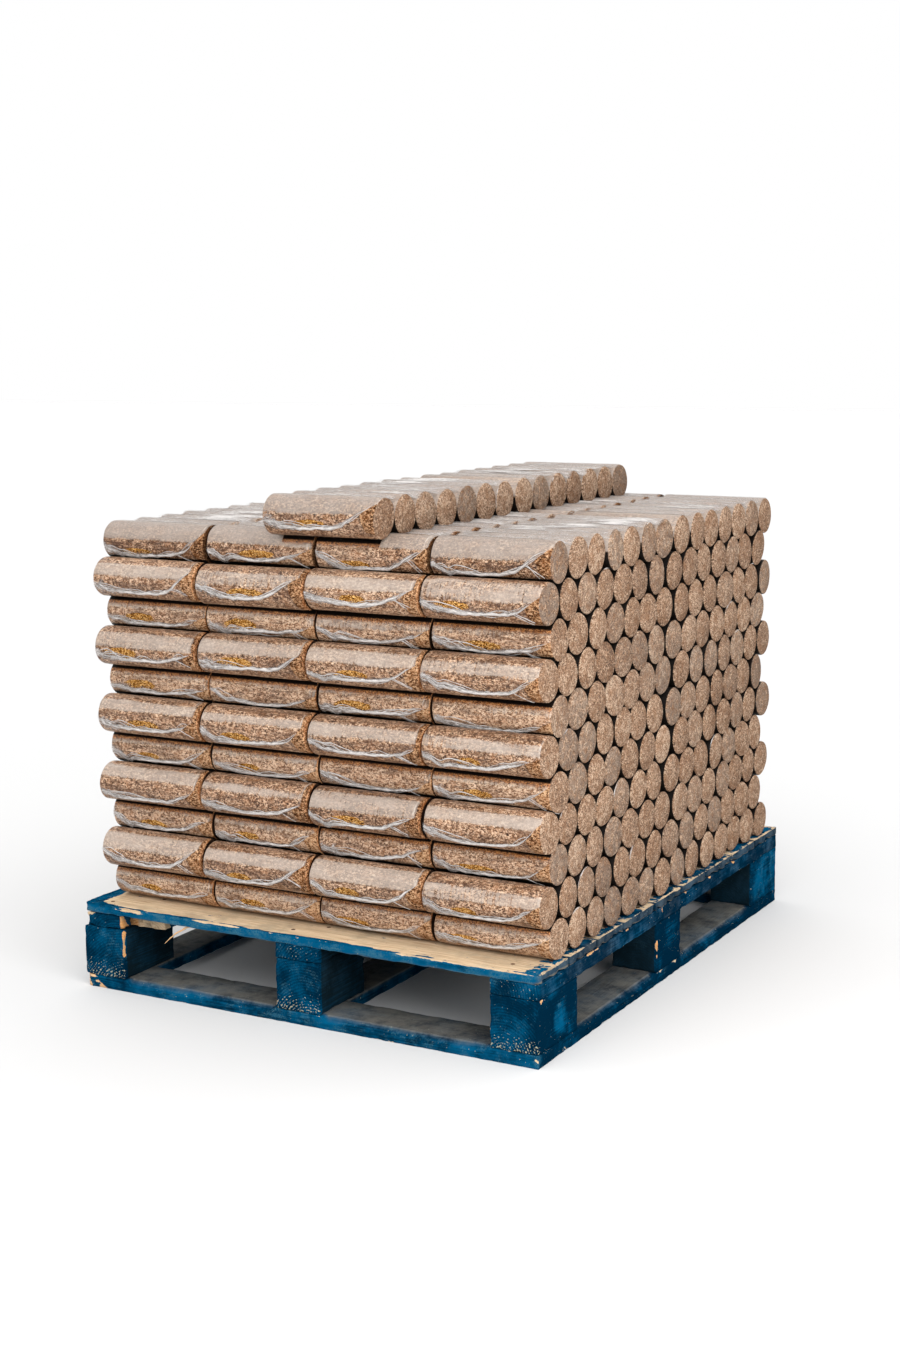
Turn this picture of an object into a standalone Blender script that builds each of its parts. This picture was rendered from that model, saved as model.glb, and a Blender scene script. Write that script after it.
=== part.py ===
"""Pallet of pressed-wood briquettes: a worn block pallet with eleven nested layers and a part row on top.

Frame: origin at the centre of the pallet's underside, +X to the right, +Y from front to back, +Z up.
"""

import math

import bmesh
import bpy
from mathutils import Matrix, Vector

# Pallet, in metres.
PALLET_X = 1.000
PALLET_Y = 1.200
SEAT = 0.0003
BASE_T = 0.0245
BLOCK_H = 0.0986
STRINGER_T = 0.0290
DECK_T = 0.0170
RAIL_X = 0.096
BASE_END_Y = 0.098
EDGE_BEVEL = 0.0016
CHAMFER_DROP = 0.011
CHAMFER_IN = 0.017
CHAMFER_STOP = 0.012
CORNER_R = 0.014

# Ends of the three rows of blocks, measured from the front face.
BLOCK_ROWS = ((0.0, 0.160), (0.520, 0.642), (1.046, 1.200))
# Joints between the deck boards, measured from the front face, and the open joint's width.
DECK_JOINTS = (0.124, 0.243, 0.362, 0.512, 0.648, 0.785, 0.924, 1.064)
DECK_JOINT = 0.007
# The wide left stringer and its broken front end.
WIDE_STRINGER_X = 0.167
REMNANT_X = 0.078
BREAK_IN = 0.034

# Load, in metres.
LOG_D = 0.0770
LOG_GAP = 0.0003
LOG_PITCH = LOG_D + LOG_GAP
LAYER_PITCH = math.sqrt((LOG_D + LOG_GAP) ** 2 - (LOG_PITCH / 2) ** 2)
LOGS_PER_PACK = 7
PACKS_DEEP = 2
PACK_GAP = 0.0100
LAYERS = 11
COLUMNS = 4
LOG_LENGTH = 0.2325
COLUMN_GAP = 0.0090
LOAD_LEFT = -0.4648
FIRST_LOG_Y = 0.0985
TOP_ROW_LEFT = -0.0680
LOG_SIDES = 12

FRONT = -PALLET_Y / 2
BASE_TOP = BASE_T
BLOCK_BOTTOM = BASE_TOP + SEAT
BLOCK_TOP = BLOCK_BOTTOM + BLOCK_H
STRINGER_BOTTOM = BLOCK_TOP + SEAT
STRINGER_TOP = STRINGER_BOTTOM + STRINGER_T
DECK_BOTTOM = STRINGER_TOP + SEAT
DECK_TOP = DECK_BOTTOM + DECK_T


def clear_scene():
    for obj in list(bpy.data.objects):
        bpy.data.objects.remove(obj, do_unlink=True)


def new_collection(name, hidden=False):
    coll = bpy.data.collections.new(name)
    bpy.context.scene.collection.children.link(coll)
    coll.hide_render = hidden
    return coll


def material(name, color, roughness):
    mat = bpy.data.materials.new(name)
    mat.use_nodes = True
    shader = mat.node_tree.nodes["Principled BSDF"]
    shader.inputs["Base Color"].default_value = (*color, 1.0)
    shader.inputs["Roughness"].default_value = roughness
    mat.diffuse_color = (*color, 1.0)
    return mat


def add_object(name, mesh, coll, mat=None):
    obj = bpy.data.objects.new(name, mesh)
    coll.objects.link(obj)
    if mat is not None and not mesh.materials:
        mesh.materials.append(mat)
    return obj


def box_mesh(name, x, y, z):
    """A box between two values on each axis."""
    bm = bmesh.new()
    size = Vector((x[1] - x[0], y[1] - y[0], z[1] - z[0]))
    middle = Vector((x[0] + x[1], y[0] + y[1], z[0] + z[1])) / 2
    bmesh.ops.create_cube(bm, size=1.0, matrix=Matrix.Translation(middle) @ Matrix.Diagonal((*size, 1.0)))
    mesh = bpy.data.meshes.new(name)
    bm.to_mesh(mesh)
    bm.free()
    return mesh


def prism_mesh(name, outline, thickness, place):
    """A flat outline filled on both sides, drawn out to a thickness and moved to its place."""
    curve = bpy.data.curves.new(name + "_outline", "CURVE")
    curve.dimensions = "2D"
    curve.fill_mode = "BOTH"
    curve.extrude = thickness / 2
    spline = curve.splines.new("POLY")
    spline.points.add(len(outline) - 1)
    for point, (u, v) in zip(spline.points, outline):
        point.co = (u, v, 0.0, 1.0)
    spline.use_cyclic_u = True
    drawn = bpy.data.objects.new(name + "_drawn", curve)
    bpy.context.scene.collection.objects.link(drawn)
    mesh = bpy.data.meshes.new_from_object(drawn)
    bpy.data.objects.remove(drawn, do_unlink=True)
    mesh.name = name
    bm = bmesh.new()
    bm.from_mesh(mesh)
    bmesh.ops.remove_doubles(bm, verts=bm.verts, dist=0.00001)
    bmesh.ops.transform(bm, matrix=place, verts=bm.verts)
    bmesh.ops.recalc_face_normals(bm, faces=bm.faces)
    bm.to_mesh(mesh)
    bm.free()
    mesh.materials.clear()
    mesh.shade_smooth()
    mesh.set_sharp_from_angle(angle=math.radians(40))
    return mesh


def soften(obj, width=EDGE_BEVEL):
    bevel = obj.modifiers.new("soft_edges", "BEVEL")
    bevel.width = width
    bevel.segments = 1
    bevel.limit_method = "ANGLE"
    bevel.angle_limit = math.radians(40)
    bevel.harden_normals = False
    return obj


def cut(obj, cutter):
    boolean = obj.modifiers.new("cut_" + cutter.name, "BOOLEAN")
    boolean.operation = "DIFFERENCE"
    boolean.solver = "EXACT"
    boolean.object = cutter


def add_cutter(name, mesh, coll):
    cutter = add_object(name, mesh, coll)
    cutter.hide_render = True
    cutter.display_type = "WIRE"
    return cutter


def board(name, x, y, z, coll, mat):
    return soften(add_object(name, box_mesh(name, x, y, z), coll, mat))


def flat_board(name, outline, bottom, top, coll, mat):
    """A board with a drawn outline, seen from above."""
    place = Matrix.Translation((0.0, 0.0, (bottom + top) / 2))
    return soften(add_object(name, prism_mesh(name, outline, top - bottom, place), coll, mat))


def rounded_front_left(x, y, radius):
    """Outline of a board whose front left corner is worn round."""
    corner = Vector((x[0] + radius, y[0] + radius))
    points = []
    for step in range(4):
        turn = math.radians(180 + 30 * step)
        points.append((corner.x + radius * math.cos(turn), corner.y + radius * math.sin(turn)))
    return points + [(x[1], y[0]), (x[1], y[1]), (x[0], y[1])]


def edge_chamfer(name, start, end, axis, side, cutters):
    """A wedge along one outer upper edge of the base, from start to end along the axis."""
    outline = ((-CHAMFER_IN, 0.002), (-CHAMFER_IN, 0.0), (0.0, -CHAMFER_DROP), (0.004, -CHAMFER_DROP), (0.004, 0.002))
    half = (PALLET_X if axis == "Y" else PALLET_Y) / 2
    middle = (start + end) / 2
    if axis == "Y":
        turn = Matrix(((side, 0, 0, side * half), (0, 0, 1, middle), (0, 1, 0, BASE_TOP), (0, 0, 0, 1)))
    else:
        turn = Matrix(((0, 0, 1, middle), (side, 0, 0, side * half), (0, 1, 0, BASE_TOP), (0, 0, 0, 1)))
    return add_cutter(name, prism_mesh(name, outline, end - start, turn), cutters)


def rail_centres():
    edge = PALLET_X / 2 - RAIL_X / 2
    return (("left", -edge), ("middle", 0.0), ("right", edge))


def build_base(coll, cutters, mat):
    front = flat_board(
        "base_front",
        rounded_front_left((-PALLET_X / 2, PALLET_X / 2), (FRONT, FRONT + BASE_END_Y), CORNER_R),
        0.0, BASE_TOP, coll, mat,
    )
    back = board("base_back", (-PALLET_X / 2, PALLET_X / 2), (-FRONT - BASE_END_Y, -FRONT), (0.0, BASE_TOP), coll, mat)
    inner = (FRONT + BASE_END_Y + SEAT, -FRONT - BASE_END_Y - SEAT)
    rails = {}
    for label, x in rail_centres():
        rails[label] = board(
            "base_" + label, (x - RAIL_X / 2, x + RAIL_X / 2), inner, (0.0, BASE_TOP), coll, mat
        )
    edge = PALLET_X / 2 - RAIL_X - CHAMFER_STOP
    near = RAIL_X / 2 + CHAMFER_STOP
    for label, end_board, side in (("front", front, -1), ("back", back, 1)):
        for part, (start, end) in (("left", (-edge, -near)), ("right", (near, edge))):
            cut(end_board, edge_chamfer(f"chamfer_{label}_{part}", start, end, "X", side, cutters))
    for label, side in (("left", -1), ("right", 1)):
        for number in (0, 1):
            start = FRONT + BLOCK_ROWS[number][1] + CHAMFER_STOP
            end = FRONT + BLOCK_ROWS[number + 1][0] - CHAMFER_STOP
            cut(rails[label], edge_chamfer(f"chamfer_{label}_{number}", start, end, "Y", side, cutters))


def build_blocks(coll, mat):
    for row, (start, end) in zip(("front", "centre", "back"), BLOCK_ROWS):
        for label, x in rail_centres():
            board(
                f"block_{row}_{label}", (x - RAIL_X / 2, x + RAIL_X / 2), (FRONT + start, FRONT + end),
                (BLOCK_BOTTOM, BLOCK_TOP), coll, mat,
            )


def build_stringers(coll, mat):
    left = -PALLET_X / 2
    right = left + WIDE_STRINGER_X
    remnant = left + REMNANT_X
    outline = [
        (left + 0.006, FRONT + 0.002), (remnant - 0.010, FRONT + 0.001), (remnant, FRONT + 0.010),
        (remnant + 0.006, FRONT + 0.030), (remnant + 0.020, FRONT + BREAK_IN - 0.020),
        (right - 0.004, FRONT + BREAK_IN), (right, FRONT + BREAK_IN + 0.006),
        (right, -FRONT), (left, -FRONT), (left, FRONT + 0.012),
    ]
    flat_board("stringer_left", outline, STRINGER_BOTTOM, STRINGER_TOP, coll, mat)
    for label, x in rail_centres()[1:]:
        board(
            "stringer_" + label, (x - RAIL_X / 2, x + RAIL_X / 2), (FRONT, -FRONT),
            (STRINGER_BOTTOM, STRINGER_TOP), coll, mat,
        )


def build_deck(coll, mat):
    joints = (-DECK_JOINT / 2, *DECK_JOINTS, PALLET_Y + DECK_JOINT / 2)
    for number, (start, end) in enumerate(zip(joints, joints[1:]), 1):
        name = f"deck_{number:02d}"
        x = (-PALLET_X / 2, PALLET_X / 2)
        y = (FRONT + start + DECK_JOINT / 2, FRONT + end - DECK_JOINT / 2)
        if number == 1:
            flat_board(name, rounded_front_left(x, y, CORNER_R), DECK_BOTTOM, DECK_TOP, coll, mat)
        else:
            board(name, x, y, (DECK_BOTTOM, DECK_TOP), coll, mat)


def log_centres():
    """Distances of a row's briquette centres from its first one, with the gap between the packs."""
    centres = []
    for number in range(LOGS_PER_PACK * PACKS_DEEP):
        centres.append(number * LOG_PITCH + (number // LOGS_PER_PACK) * PACK_GAP)
    return centres


def row_outline(centres):
    """The end view of a row of briquettes joined at their sides by short necks."""
    radius = LOG_D / 2
    step = math.tau / LOG_SIDES
    top = []
    bottom = []
    for number, centre in enumerate(centres):
        # The necks' heights differ a little from briquette to briquette, so no long line grazes them all.
        lean = math.radians(0.5 * ((number * 5) % 7 - 3))
        for corner in range(LOG_SIDES // 2 - 1, 0, -1):
            turn = corner * step
            if corner == 1:
                turn += lean
            elif corner == LOG_SIDES // 2 - 1:
                turn -= lean * 0.7
            across = centre + radius * math.cos(turn)
            top.append((across, radius * math.sin(turn)))
            bottom.append((across, -radius * math.sin(turn)))
        if centre == centres[LOGS_PER_PACK - 1]:
            middle = centre + (LOG_PITCH + PACK_GAP) / 2
            for side in (-0.0035, 0.0035):
                top.append((middle + side, radius * 0.30))
                bottom.append((middle + side, -radius * 0.30))
    ends = ((centres[0] - radius, 0.0), (centres[-1] + radius, 0.0))
    return [ends[0], *top, ends[1], *reversed(bottom)]


def row_mesh(name, length):
    """A row of briquettes: the end view drawn out along X, its left end at X zero."""
    turn = Matrix(((0, 0, 1, length / 2), (1, 0, 0, 0), (0, 1, 0, 0), (0, 0, 0, 1)))
    return prism_mesh(name, row_outline(log_centres()), length, turn)


def gap_meshes():
    """Slots that part the four columns: at the front and the back of a row, and over its top."""
    depth = log_centres()[-1]
    radius = LOG_D / 2
    past = radius + 0.010
    ends = {}
    tops = {}
    for number in range(1, COLUMNS):
        right = number * (LOG_LENGTH + COLUMN_GAP)
        x = (right - COLUMN_GAP, right)
        front = (-past, radius * 0.30)
        back = (depth - radius * 0.30, depth + past)
        middle = (radius * 0.20, depth - radius * 0.20)
        ends[f"gap_front_{number}"] = box_mesh(f"gap_front_{number}", x, front, (-past, past))
        ends[f"gap_back_{number}"] = box_mesh(f"gap_back_{number}", x, back, (-past, past))
        tops[f"gap_top_{number}"] = box_mesh(f"gap_top_{number}", x, middle, (radius * 0.12, past))
    return ends, tops


def row_place(number):
    """Where the left end of the first briquette of a row lies: even rows stand half a briquette forward."""
    shift = 0.0 if number % 2 else -LOG_PITCH / 2
    bottom = DECK_TOP + SEAT + LOG_D / 2
    return Vector((LOAD_LEFT, FRONT + FIRST_LOG_Y + shift, bottom + (number - 1) * LAYER_PITCH))


def build_load(coll, cutters, mat):
    width = COLUMNS * LOG_LENGTH + (COLUMNS - 1) * COLUMN_GAP
    layer = row_mesh("layer", width)
    ends, tops = gap_meshes()
    for number in range(1, LAYERS + 1):
        name = f"layer_{number:02d}"
        obj = add_object(name, layer, coll, mat)
        obj.location = row_place(number)
        chosen = {**ends, **tops} if number == LAYERS else ends
        for label, mesh in chosen.items():
            cutter = add_cutter(f"{name}_{label}", mesh, cutters)
            cutter.location = obj.location
            cut(obj, cutter)
    top = add_object("top_row", row_mesh("top_row", LOG_LENGTH), coll, mat)
    top.location = row_place(LAYERS + 1)
    top.location.x = TOP_ROW_LEFT


def main():
    clear_scene()
    parts = new_collection("pallet_of_briquettes")
    cutters = new_collection("cutters", hidden=True)
    blue = (0.010, 0.090, 0.230)
    build_base(parts, cutters, material("base_wood", blue, 0.75))
    build_blocks(parts, material("block_wood", blue, 0.75))
    build_stringers(parts, material("stringer_wood", blue, 0.75))
    build_deck(parts, material("deck_wood", (0.42, 0.35, 0.25), 0.80))
    build_load(parts, cutters, material("pressed_wood", (0.33, 0.20, 0.12), 0.85))


main()
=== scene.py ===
# %% [markdown]
# # A pallet of pressed-wood briquettes
#
# The object is a worn blue block pallet with eleven layers of round briquettes on it, and a single row
# on top. Seven briquettes side by side make a pack, held in a sleeve of clear shrink film. The packed
# solids give every size and place, and this lesson dresses them: boards with grain, worn paint and
# breaks, 630 separate briquettes, and the film with its gathered seams.

# %% Load the frame
import math
import random

import bmesh
import bpy
from mathutils import Matrix, Vector, noise


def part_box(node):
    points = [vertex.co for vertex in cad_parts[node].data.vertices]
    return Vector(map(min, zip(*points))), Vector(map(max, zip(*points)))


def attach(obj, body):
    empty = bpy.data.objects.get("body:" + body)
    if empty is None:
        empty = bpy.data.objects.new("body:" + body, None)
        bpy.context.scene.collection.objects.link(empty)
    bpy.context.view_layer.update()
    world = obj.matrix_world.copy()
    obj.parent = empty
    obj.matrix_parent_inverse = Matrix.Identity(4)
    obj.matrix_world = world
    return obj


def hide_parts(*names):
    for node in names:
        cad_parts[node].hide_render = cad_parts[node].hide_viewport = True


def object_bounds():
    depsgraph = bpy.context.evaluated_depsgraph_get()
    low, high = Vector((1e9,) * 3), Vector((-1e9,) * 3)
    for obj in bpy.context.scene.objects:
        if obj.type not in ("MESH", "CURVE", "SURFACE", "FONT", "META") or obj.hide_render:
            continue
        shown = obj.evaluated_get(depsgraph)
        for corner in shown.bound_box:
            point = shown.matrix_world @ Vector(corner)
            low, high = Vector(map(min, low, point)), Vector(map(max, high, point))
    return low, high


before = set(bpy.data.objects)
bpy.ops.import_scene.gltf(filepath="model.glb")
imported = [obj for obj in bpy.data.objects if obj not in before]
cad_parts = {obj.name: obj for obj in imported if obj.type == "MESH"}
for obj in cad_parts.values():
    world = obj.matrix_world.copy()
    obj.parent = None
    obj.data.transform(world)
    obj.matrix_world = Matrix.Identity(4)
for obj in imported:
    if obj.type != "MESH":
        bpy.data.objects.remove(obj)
cad_low, cad_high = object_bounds()
cad_box = [list(cad_low), list(cad_high)]
print("solids:", len(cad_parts), "box:", [round(v, 3) for v in cad_box[1]])

# %% [markdown]
# ## The camera
#
# A camera is worth setting first, because every later choice is judged through it. Its place, turn and
# lens come from matching known corners of the pallet and rows of briquettes to where they are seen.
# A matrix is used instead of three angles, because the small roll turns about the camera's own axis.

# %% Camera
CAMERA_PLACE = (1.9708, -3.5521, 1.257)
CAMERA_TURN = 29.07
CAMERA_TILT = 9.57
CAMERA_ROLL = -0.45
IMAGE_HEIGHT = 1348
FOCAL_PIXELS = 1983.3


def add_object(name, data):
    obj = bpy.data.objects.new(name, data)
    bpy.context.scene.collection.objects.link(obj)
    return obj


def make_camera():
    """A camera at its place, turned left, tilted down and rolled a little."""
    data = bpy.data.cameras.new("view_camera")
    data.sensor_width = 36.0
    data.lens = FOCAL_PIXELS / IMAGE_HEIGHT * data.sensor_width
    camera = add_object("view_camera", data)
    matrix = Matrix.Translation(CAMERA_PLACE)
    for angle, axis in ((CAMERA_TURN, "Z"), (90 - CAMERA_TILT, "X"), (CAMERA_ROLL, "Z")):
        matrix = matrix @ Matrix.Rotation(math.radians(angle), 4, axis)
    camera.matrix_world = matrix
    bpy.context.scene.camera = camera
    print("lens:", round(data.lens, 2), "mm")


make_camera()

# %% [markdown]
# ## Small tools for modelling
#
# Operators act on whatever is selected, so each piece starts with nothing selected. The helpers below
# select parts of a mesh by place or direction, which is what a hand with a mouse would do.

# %% Helpers for modelling
def set_mode(mode):
    bpy.ops.object.mode_set(mode=mode)


def start_clean():
    if bpy.context.object and bpy.context.object.mode != "OBJECT":
        set_mode("OBJECT")
    bpy.ops.object.select_all(action="DESELECT")


def edit_select(obj, kind, test):
    """Selects, in edit mode, the edges or faces that pass the test."""
    bm = bmesh.from_edit_mesh(obj.data)
    for element in (*bm.faces, *bm.edges, *bm.verts):
        element.select = False
    for element in [element for element in getattr(bm, kind) if test(element)]:
        element.select = True
    bm.select_flush(True)
    bmesh.update_edit_mesh(obj.data)


def bisect_all(place, normal):
    """Cuts the whole mesh along a plane, without splitting it."""
    bpy.ops.mesh.select_all(action="SELECT")
    bpy.ops.mesh.bisect(plane_co=place, plane_no=normal)


def apply_all():
    bpy.ops.object.transform_apply(location=True, rotation=True, scale=True)


print("modelling helpers ready")

# %% Helpers for finishing a piece
def copy_of(master, name):
    return add_object(name, master.data.copy())


def rename(obj, name):
    obj.name = obj.data.name = name


def new_uv(mesh, name):
    """Puts one UV map in place of any that the primitive came with."""
    while mesh.uv_layers:
        mesh.uv_layers.remove(mesh.uv_layers[0])
    mesh.uv_layers.new(name=name)


def join_pieces(pieces, name):
    """Joins pieces into one at the origin, with its place in its mesh."""
    start_clean()
    for piece in pieces:
        piece.select_set(True)
    bpy.context.view_layer.objects.active = pieces[0]
    bpy.ops.object.join()
    joined = bpy.context.object
    rename(joined, name)
    apply_all()
    print(name, "has", len(joined.data.polygons), "faces")
    return joined


def finish_piece(piece, material, slot=None, nodes=()):
    """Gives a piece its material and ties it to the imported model."""
    piece.data.materials.clear()
    piece.data.materials.append(material)
    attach(piece, "root")
    if nodes:
        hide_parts(*nodes)


# %% Helpers for shapes in numbers
def wave(x, y, z):
    """Smooth noise in space, between about -1 and 1."""
    return noise.noise(Vector((x, y, z)))


def fade(x, reach):
    """1 at no distance, falling to 0 at reach."""
    return max(0.0, 1.0 - x / reach)


def axis_vector(axis):
    return Vector([float(i == axis) for i in range(3)])


def clamp(x, low=0.0, high=1.0):
    return min(max(x, low), high)


def smooth(u):
    """0 up to 0, 1 from 1 on, smooth between."""
    u = clamp(u)
    return u * u * (3 - 2 * u)


print("a quarter of the way, a smooth step is at", smooth(0.25))

# %% [markdown]
# ## Small tools for materials
#
# A material is a tree of nodes. Here a node's output is wrapped as a wire, and arithmetic on wires adds
# the math nodes, so a formula in a material reads like a formula. An effect that could serve more than
# one material, such as grain or wear, is a group: built once, with named inputs and outputs, and placed
# in a material with its own values.

# %% Wires between nodes
class Wire:
    """A node's output that can be added, multiplied and compared."""

    def __init__(self, socket):
        self.socket = socket

    def __add__(self, other):
        return maths("ADD", self, other)

    def __sub__(self, other):
        return maths("SUBTRACT", self, other)

    def __rsub__(self, other):
        return maths("SUBTRACT", other, self)

    def __mul__(self, other):
        return maths("MULTIPLY", self, other)

    def __gt__(self, other):
        return maths("GREATER_THAN", self, other)

    def __lt__(self, other):
        return maths("LESS_THAN", self, other)

    def other(self, output):
        """Another output of the same node."""
        return Wire(self.socket.node.outputs[output])


building = {}


def feed(inputs, feeds):
    """Sets inputs to plain values, or links wires to them."""
    for name, value in feeds.items():
        socket = inputs[name]
        if isinstance(value, Wire):
            building["tree"].links.new(value.socket, socket)
        else:
            socket.default_value = (*value, 1.0) if socket.type == "RGBA" else value


def add_node(kind, feeds, output=0, **settings):
    """A node in the tree that is being built; gives one of its outputs."""
    nodes = building["tree"].nodes
    made = nodes.new("ShaderNode" + kind)
    made.location = (220 * (len(nodes) % 12), -170 * (len(nodes) // 12))
    for name, value in settings.items():
        setattr(made, name, value)
    feed(made.inputs, feeds)
    return Wire(made.outputs[output])


def maths(operation, *values, clamp=False):
    """A math node, or one for vectors where a value has three parts."""
    if any(isinstance(v, tuple) or isinstance(v, Wire) and v.socket.type == "VECTOR" for v in values):
        return add_node("VectorMath", dict(enumerate(values)), operation=operation)
    return add_node("Math", dict(enumerate(values)), operation=operation, use_clamp=clamp)


# %% Helpers for mixing
def rest_of(value):
    return maths("SUBTRACT", 1.0, value, clamp=True)


def mix(factor, a, b, blend="MIX"):
    """Between a and b at the factor, for values or for colours."""
    if any(isinstance(v, tuple) or isinstance(v, Wire) and v.socket.type == "RGBA" for v in (a, b)):
        return add_node("Mix", {0: factor, 6: a, 7: b}, 2, data_type="RGBA", blend_type=blend)
    return add_node("Mix", {0: factor, 2: a, 3: b})


def tinted(color, tint):
    return mix(1.0, color, tint, "MULTIPLY")


def steps(value, low, high):
    """A soft step from 0 at low to 1 at high."""
    feeds = {"Value": value, "From Min": low, "From Max": high}
    return add_node("MapRange", feeds, interpolation_type="SMOOTHSTEP")


def ramp(value, stops):
    color = add_node("ValToRGB", {"Fac": value})
    elements = color.socket.node.color_ramp.elements
    while len(elements) < len(stops):
        elements.new(0.5)
    for element, (position, shade) in zip(elements, stops):
        element.position = position
        element.color = (*shade, 1.0)
    return color


# %% Helpers for patterns
def grain_of(vector, scale, detail=3.0, rough=0.55, distortion=0.0, output="Fac"):
    """Noise at a scale; rough is how strong its finest detail is."""
    feeds = {"Vector": vector, "Scale": scale, "Detail": detail, "Roughness": rough, "Distortion": distortion}
    return add_node("TexNoise", feeds, output)


def stretched(vector, scale, turn=(0.0, 0.0, 0.0)):
    return add_node("Mapping", {"Vector": vector, "Rotation": turn, "Scale": scale})


def attribute(name):
    return add_node("Attribute", {}, "Fac", attribute_name=name)


def length_of(vector):
    return add_node("VectorMath", {0: vector}, "Value", operation="LENGTH")


def parts_of(kind, value):
    """The three parts of a colour or a vector."""
    first = add_node(kind, {0: value})
    return first, first.other(1), first.other(2)


def bump(height, strength, distance):
    return add_node("Bump", {"Strength": strength, "Distance": distance, "Height": height})


# %% Start a group or a material
def make_group(name, kinds, build):
    """A group of nodes; build gets a wire for each input and gives the outputs by name."""
    group = bpy.data.node_groups.new(name, "ShaderNodeTree")
    building["tree"] = group
    for label, kind in kinds.items():
        group.interface.new_socket(label, in_out="INPUT", socket_type="NodeSocket" + kind)
    given = group.nodes.new("NodeGroupInput").outputs
    made = build(*(Wire(given[label]) for label in kinds))
    for label in made:
        group.interface.new_socket(label, in_out="OUTPUT", socket_type="NodeSocketFloat")
    feed(group.nodes.new("NodeGroupOutput").inputs, made)
    print("group:", name, "with", len(group.nodes), "nodes")
    return group


def place_group(group, feeds):
    """The group, placed in the tree that is being built; gives its outputs by name."""
    first = add_node("Group", feeds, node_tree=group)
    return {socket.name: Wire(socket) for socket in first.socket.node.outputs}


def start_material(name):
    """A new material; gives it, its shader's inputs and the place in the object."""
    material = bpy.data.materials.new(name)
    material.use_nodes = True
    building["tree"] = material.node_tree
    place = add_node("TexCoord", {}, "Object")
    print("material:", name)
    return material, material.node_tree.nodes["Principled BSDF"].inputs, place


# %% [markdown]
# ## Pressed chips and film haze
#
# A briquette is wood waste pressed so hard that it holds together by itself. Seen close, it is a mosaic
# of small flakes, each its own brown, lying in every direction, with dark specks of bark. One Voronoi
# pattern gives flat cells that all point the same way, so two are made, stretched and turned
# differently, and a noise chooses between them.
#
# Shrink film is clear, but never quite: it lies in fine drawn lines along the pull, and it is milky
# where it is stretched. On the briquettes it is thinner than any mesh could be, so it is painted into
# their material as a haze and a clear coat.

# %% Groups: pressed chips and film haze
LOG_D = 0.0770
LOG_R = LOG_D / 2
SHOWN_R = LOG_R - 0.0002


def pressed_chips(place, seed, size):
    """The flakes' own values, by name."""
    moved = place + seed * (3.7, 7.3, 5.1)
    bent = moved + (grain_of(moved, 70.0, 2.0, output="Color") - (0.5, 0.5, 0.5)) * (0.006, 0.006, 0.006)
    lying = stretched(bent, (0.8, 2.3, 1.8), (0.3, 0.15, 0.1))
    standing = stretched(bent, (1.5, 1.1, 1.9), (-0.4, 0.5, 0.8))
    choice = steps(grain_of(bent, 110.0, 1.0), 0.47, 0.53)
    first = add_node("TexVoronoi", {"Vector": lying, "Scale": maths("DIVIDE", 150.0, size)})
    second = add_node("TexVoronoi", {"Vector": standing, "Scale": maths("DIVIDE", 130.0, size)})
    depth = mix(choice, first, second)
    parts = parts_of("SeparateColor", mix(choice, first.other("Color"), second.other("Color")))
    fine = grain_of(bent, 620.0, 3.0, 0.65)
    return {
        "Tone": parts[0] * 0.62 + fine * 0.38,
        "Speck": steps(parts[1], 0.84, 0.90),
        "Pale": steps(parts[2], 0.88, 0.93),
        "Patch": grain_of(moved, 17.0, 4.0, 0.6),
        "Mottle": steps(grain_of(stretched(moved, (0.66, 1.0, 1.0)), 250.0, 4.0, 0.80), 0.36, 0.64),
        "Warm": steps(grain_of(moved, 60.0, 4.0, 0.65), 0.42, 0.66),
        "Height": parts[2] * 0.55 - depth * 0.6 + fine * 0.45,
    }


def film_haze(place, seed):
    """Milky haze and fine streaks of the film."""
    moved = place + seed * (2.9, 4.3, 6.1)
    drawn = stretched(moved, (0.16, 1.0, 1.0))
    haze = steps(grain_of(drawn, 38.0, 3.0, 0.6, 0.3), 0.34, 0.72)
    haze = haze * steps(grain_of(moved, 20.0, 3.0, 0.6), 0.30, 0.62)
    return {"Haze": haze, "Streak": steps(grain_of(drawn, 320.0, 3.0, 0.6, 0.2), 0.42, 0.78)}


SEEDED = {"Vector": "Vector", "Seed": "Float"}
chip_group = make_group("Pressed chips", {**SEEDED, "Chip size": "Float"}, pressed_chips)
haze_group = make_group("Film haze", SEEDED, film_haze)


# %% [markdown]
# ## The briquette's material
#
# One material serves every briquette, and attributes on the mesh say what each face is. "end" is 1 on
# the sawn ends, where there is no film, and more on ends that look into a gap. The UV map "seam" is
# centred on the oval hole in the film, so a plain circle in it is the hole's exact outline. "tone" and
# "seed" make each briquette a little different.

# %% Material: briquettes
CHIP_STOPS = (
    (0.10, (0.026, 0.012, 0.007)),
    (0.32, (0.124, 0.062, 0.034)),
    (0.50, (0.300, 0.168, 0.098)),
    (0.68, (0.480, 0.310, 0.200)),
    (0.92, (0.740, 0.570, 0.420)),
)
HOLE_WARM_LIGHT_STOPS = (
    (0.22, (0.030, 0.010, 0.003)),
    (0.42, (0.190, 0.070, 0.012)),
    (0.58, (0.430, 0.195, 0.040)),
    (0.80, (0.760, 0.460, 0.170)),
)
WARM_WOOD = (0.340, 0.155, 0.062)
BARK = (0.055, 0.028, 0.016)
PALE_FLAKE = (0.680, 0.500, 0.330)
SCORCHED = (0.080, 0.040, 0.024)
MILK_AND_SKY_SHEEN = (0.408, 0.340, 0.289)
OPEN_MILK_AND_SKY_SHEEN = (0.322, 0.271, 0.235)
MILK_GRIT = (0.140, 0.105, 0.085)
FILM_FRINGE = (0.560, 0.500, 0.440)
FILM_HEM_SHADOW = (0.050, 0.026, 0.014)
DEEP_SHADE = (0.0026, 0.0021, 0.0018)
GAP_SHADE = (0.012, 0.007, 0.005)
END_DUST = (0.180, 0.137, 0.110)
END_VEIL = (0.158, 0.133, 0.113)
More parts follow.
